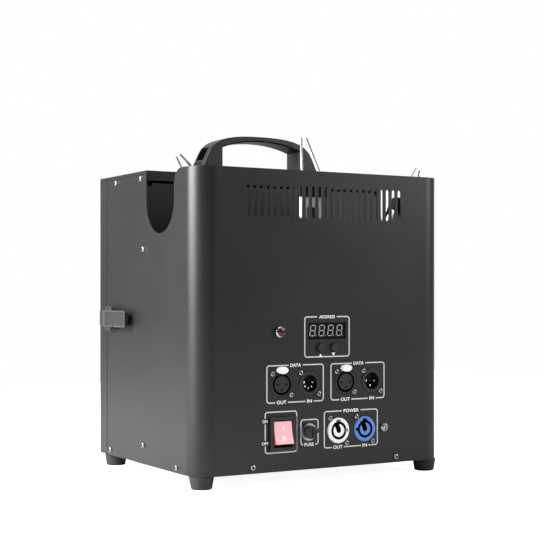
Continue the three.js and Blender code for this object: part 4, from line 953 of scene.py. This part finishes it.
# %% Screws inside and below
upwards = (0, 0, 0)
downwards = (radians(180), 0, 0)
backwards = (radians(-90), 0, 0)
bracket_y, bracket_top = -45, 215.8
foot_cup = 5
rail_face = 5.4
latch_face = -136.4
keeper_y = 102.5
bracket_screws = [((x + dx, bracket_y, bracket_top), upwards) for x in (-83.95, 0.65, 85.25) for dx in (-12, 12)]
foot_screws = [((x, y, foot_cup), downwards) for x in (-122.65, 123.95) for y in (-90, 99)]
rail_screws = [((x, rail_face, z), backwards) for x in (-104, 105.3) for z in (182, 234)]
keeper_screws = [((latch_face, keeper_y, z), out_of_left) for z in (144, 154)]
copies(panel_screw, bracket_screws, "bracket_screws", "bright_steel", "housing", grow=0.9)
copies(panel_screw, foot_screws, "foot_screws", "bright_steel", "housing")
copies(panel_screw, rail_screws, "rail_screws", "bright_steel", "housing")
copies(panel_screw, keeper_screws, "keeper_screws", "bright_steel", "rear_door", grow=0.6)
bpy.data.objects.remove(panel_screw, do_unlink=True)
print("screws inside and below placed")

# %% [markdown]
# ## Contacts
# The plug pins of the two male sockets are silver plated and show as bright dots deep in their cups. A pin is a
# cylinder with a rounded tip. The contact holes of the female sockets hold a thin tube each.

# %% Pins and contact tubes
pin_circle = 4.6
pin_radius = 1.17
pin_length = 7.6
tube_radius = 1.25


def around(middle_x, depth, degrees):
    """Places on a socket's contact circle, counted from its lowest point."""
    turns = [radians(turn) for turn in degrees]
    return [((middle_x + pin_circle * sin(turn), face + depth, socket_z - pin_circle * cos(turn)), out_of_panel)
            for turn in turns]


only()
bpy.ops.mesh.primitive_cylinder_add(vertices=20, radius=pin_radius * mm, depth=pin_length * mm,
                                    location=(0, 0, -pin_length / 2 * mm))
pin = bpy.context.object
apply_place(pin)
round_top(pin, 0.75 * mm)
pin_depth = 2.3
tube_depth = 1.2
five_turns = (-100, -50, 0, 50, 100)
three_turns = (-90, 0, 90)
for middle_x, turns, name in ((-17.95, five_turns, "five_pins"), (51.45, three_turns, "three_pins")):
    copies(pin, around(middle_x, pin_depth, turns), name, "brass", "housing", "silver_contact")
bpy.data.objects.remove(pin, do_unlink=True)

only()
bpy.ops.mesh.primitive_circle_add(vertices=20, radius=tube_radius * mm, fill_type="NGON")
tube = bpy.context.object
keep_rim(tube, 0.3 * mm)
with_modifier(tube, "SOLIDIFY", thickness=1.5 * mm, offset=-1)
for middle_x, name in ((-47.95, "left_contact_tubes"), (21.65, "right_contact_tubes")):
    copies(tube, around(middle_x, tube_depth, three_turns), name, "brass", "housing", "silver_contact")
bpy.data.objects.remove(tube, do_unlink=True)
print("eight pins and six contact tubes")

# %% [markdown]
# ## Rocker
# The rocker is clear red plastic. Its broad front faces get a pale pink finish of their own, a painted sheen
# that stands for the gloss on them, while its edges stay deep red. The two usual marks, a stroke for on and a
# ring for off, are laid on that face by following its slope.

# %% The rocker's face and marks
rocker = bpy.data.objects["switch_rocker_dressed"]
rocker_x = -46.95
before_panel = -130
# The front faces get the pale pink, a painted sheen.
second_finish(rocker, "rocker_face_sheen", lambda at, facing: facing.y < -0.75)


def on_slope(z):
    """A frame on the rocker's face at a height in millimetres: its origin on the face, its Z out of it."""
    start = Vector((rocker_x, before_panel, z)) * mm
    hit, point, facing, index = rocker.ray_cast(start, Vector((0, 1, 0)))
    side = Vector((1, 0, 0))
    up = facing.cross(side).normalized()
    rotation = Matrix((side, up, facing)).transposed().to_4x4()
    return Matrix.Translation(point + facing * 0.03 * mm) @ rotation


def mark_on_slope(piece, z):
    """Lays flat work on the rocker's face."""
    piece.matrix_world = on_slope(z)
    apply_place(piece)
    return piece


only()
bpy.ops.mesh.primitive_plane_add(size=1)
stroke = bpy.context.object
stroke.scale = (0.8 * mm, 3.6 * mm, 1)
apply_place(stroke)
only()
bpy.ops.mesh.primitive_circle_add(vertices=28, radius=1.9 * mm, fill_type="NGON")
ring = bpy.context.object
keep_rim(ring, 0.7 * mm)
on_height = 51.5
off_height = 42.3
rocker_marks = join_all([mark_on_slope(stroke, on_height), mark_on_slope(ring, off_height)])
with_modifier(rocker_marks, "SOLIDIFY", thickness=0.05 * mm, offset=1)
settle(rocker_marks, "rocker_marks", "white_plastic", "power_rocker", finish="word_print")
print("rocker has", len(rocker.data.materials), "finishes")

# %% [markdown]
# ## Rim and rivets of the latch
# The latch lever is pressed from sheet, with its rim turned up a little, so a thin light line runs round it,
# and two rivets hold its base. A plane is inset to a ring and thickened for the rim, which is quicker than
# pressing the lever's own mesh. A rivet is the cap of a sphere.

# %% Rim of the latch lever
lever_middle = Vector((-142.87, 57, 149)) * mm
lever_height = 15.2 * mm
lever_length = 48.6 * mm
rivet_radius = 1.5 * mm
only()
bpy.ops.mesh.primitive_plane_add(size=1, location=lever_middle, rotation=(0, radians(-90), 0))
rim = bpy.context.object
rim.scale = (lever_height, lever_length, 1)
apply_place(rim)
round_corners(rim, 1.2 * mm, 4)
keep_rim(rim, 0.9 * mm)
with_modifier(rim, "SOLIDIFY", thickness=0.3 * mm, offset=1)
with_modifier(rim, "BEVEL", width=0.12 * mm, segments=2, limit_method="ANGLE")
settle(rim, "latch_rim", "inner_steel", "latch_lever", finish="latch_sheet")
only()
bpy.ops.mesh.primitive_uv_sphere_add(segments=20, ring_count=10, radius=rivet_radius)
rivet = bpy.context.object
edit(rivet)
bpy.ops.mesh.select_all(action="SELECT")
bpy.ops.mesh.bisect(plane_co=(0, 0, 0.4 * mm), plane_no=(0, 0, 1), clear_inner=True, use_fill=True)
done()
rivet_places = [((latch_face, y, 149), out_of_left) for y in (47, 57)]
copies(rivet, rivet_places, "latch_rivets", "bright_steel", "housing")
bpy.data.objects.remove(rivet, do_unlink=True)
print("latch trimmed")

# %% [markdown]
# ## Ribs on the handle's ends
# Fine ribs at the foot of each of the handle's ends give a thumb some grip. One rib is a cube with rounded
# edges, and its copies stand on the slanted ends. An array modifier would do as well, but only for one end.

# %% Ribs on the handle's ends
rib_lean = 25.3
rib_size = Vector((1.2, 1.1, 13)) * mm
rib_spread = 67.2
first_rib_y = 25.6
rib_pitch = 2.6
rib_height = 298.2
handle_x = 0.65
only()
bpy.ops.mesh.primitive_cube_add(size=1)
rib = bpy.context.object
rib.scale = rib_size
apply_place(rib)
with_modifier(rib, "BEVEL", width=0.4 * mm, segments=3, limit_method="ANGLE")
ribs = []
for side in (-1, 1):
    for number in range(6):
        piece = bpy.data.objects.new("handle_rib", rib.data.copy())
        bpy.context.scene.collection.objects.link(piece)
        spot = Vector((handle_x + side * rib_spread, first_rib_y + number * rib_pitch, rib_height)) * mm
        piece.matrix_world = Matrix.Translation(spot) @ Matrix.Rotation(radians(-side * rib_lean), 4, "Y")
        ribs.append(piece)
handle_ribs = join_all(ribs)
bpy.data.objects.remove(rib, do_unlink=True)
settle(handle_ribs, "handle_ribs", "black_plastic", "housing")
print("twelve ribs on the handle")

# %% [markdown]
# ## The end

# %% The end
import json
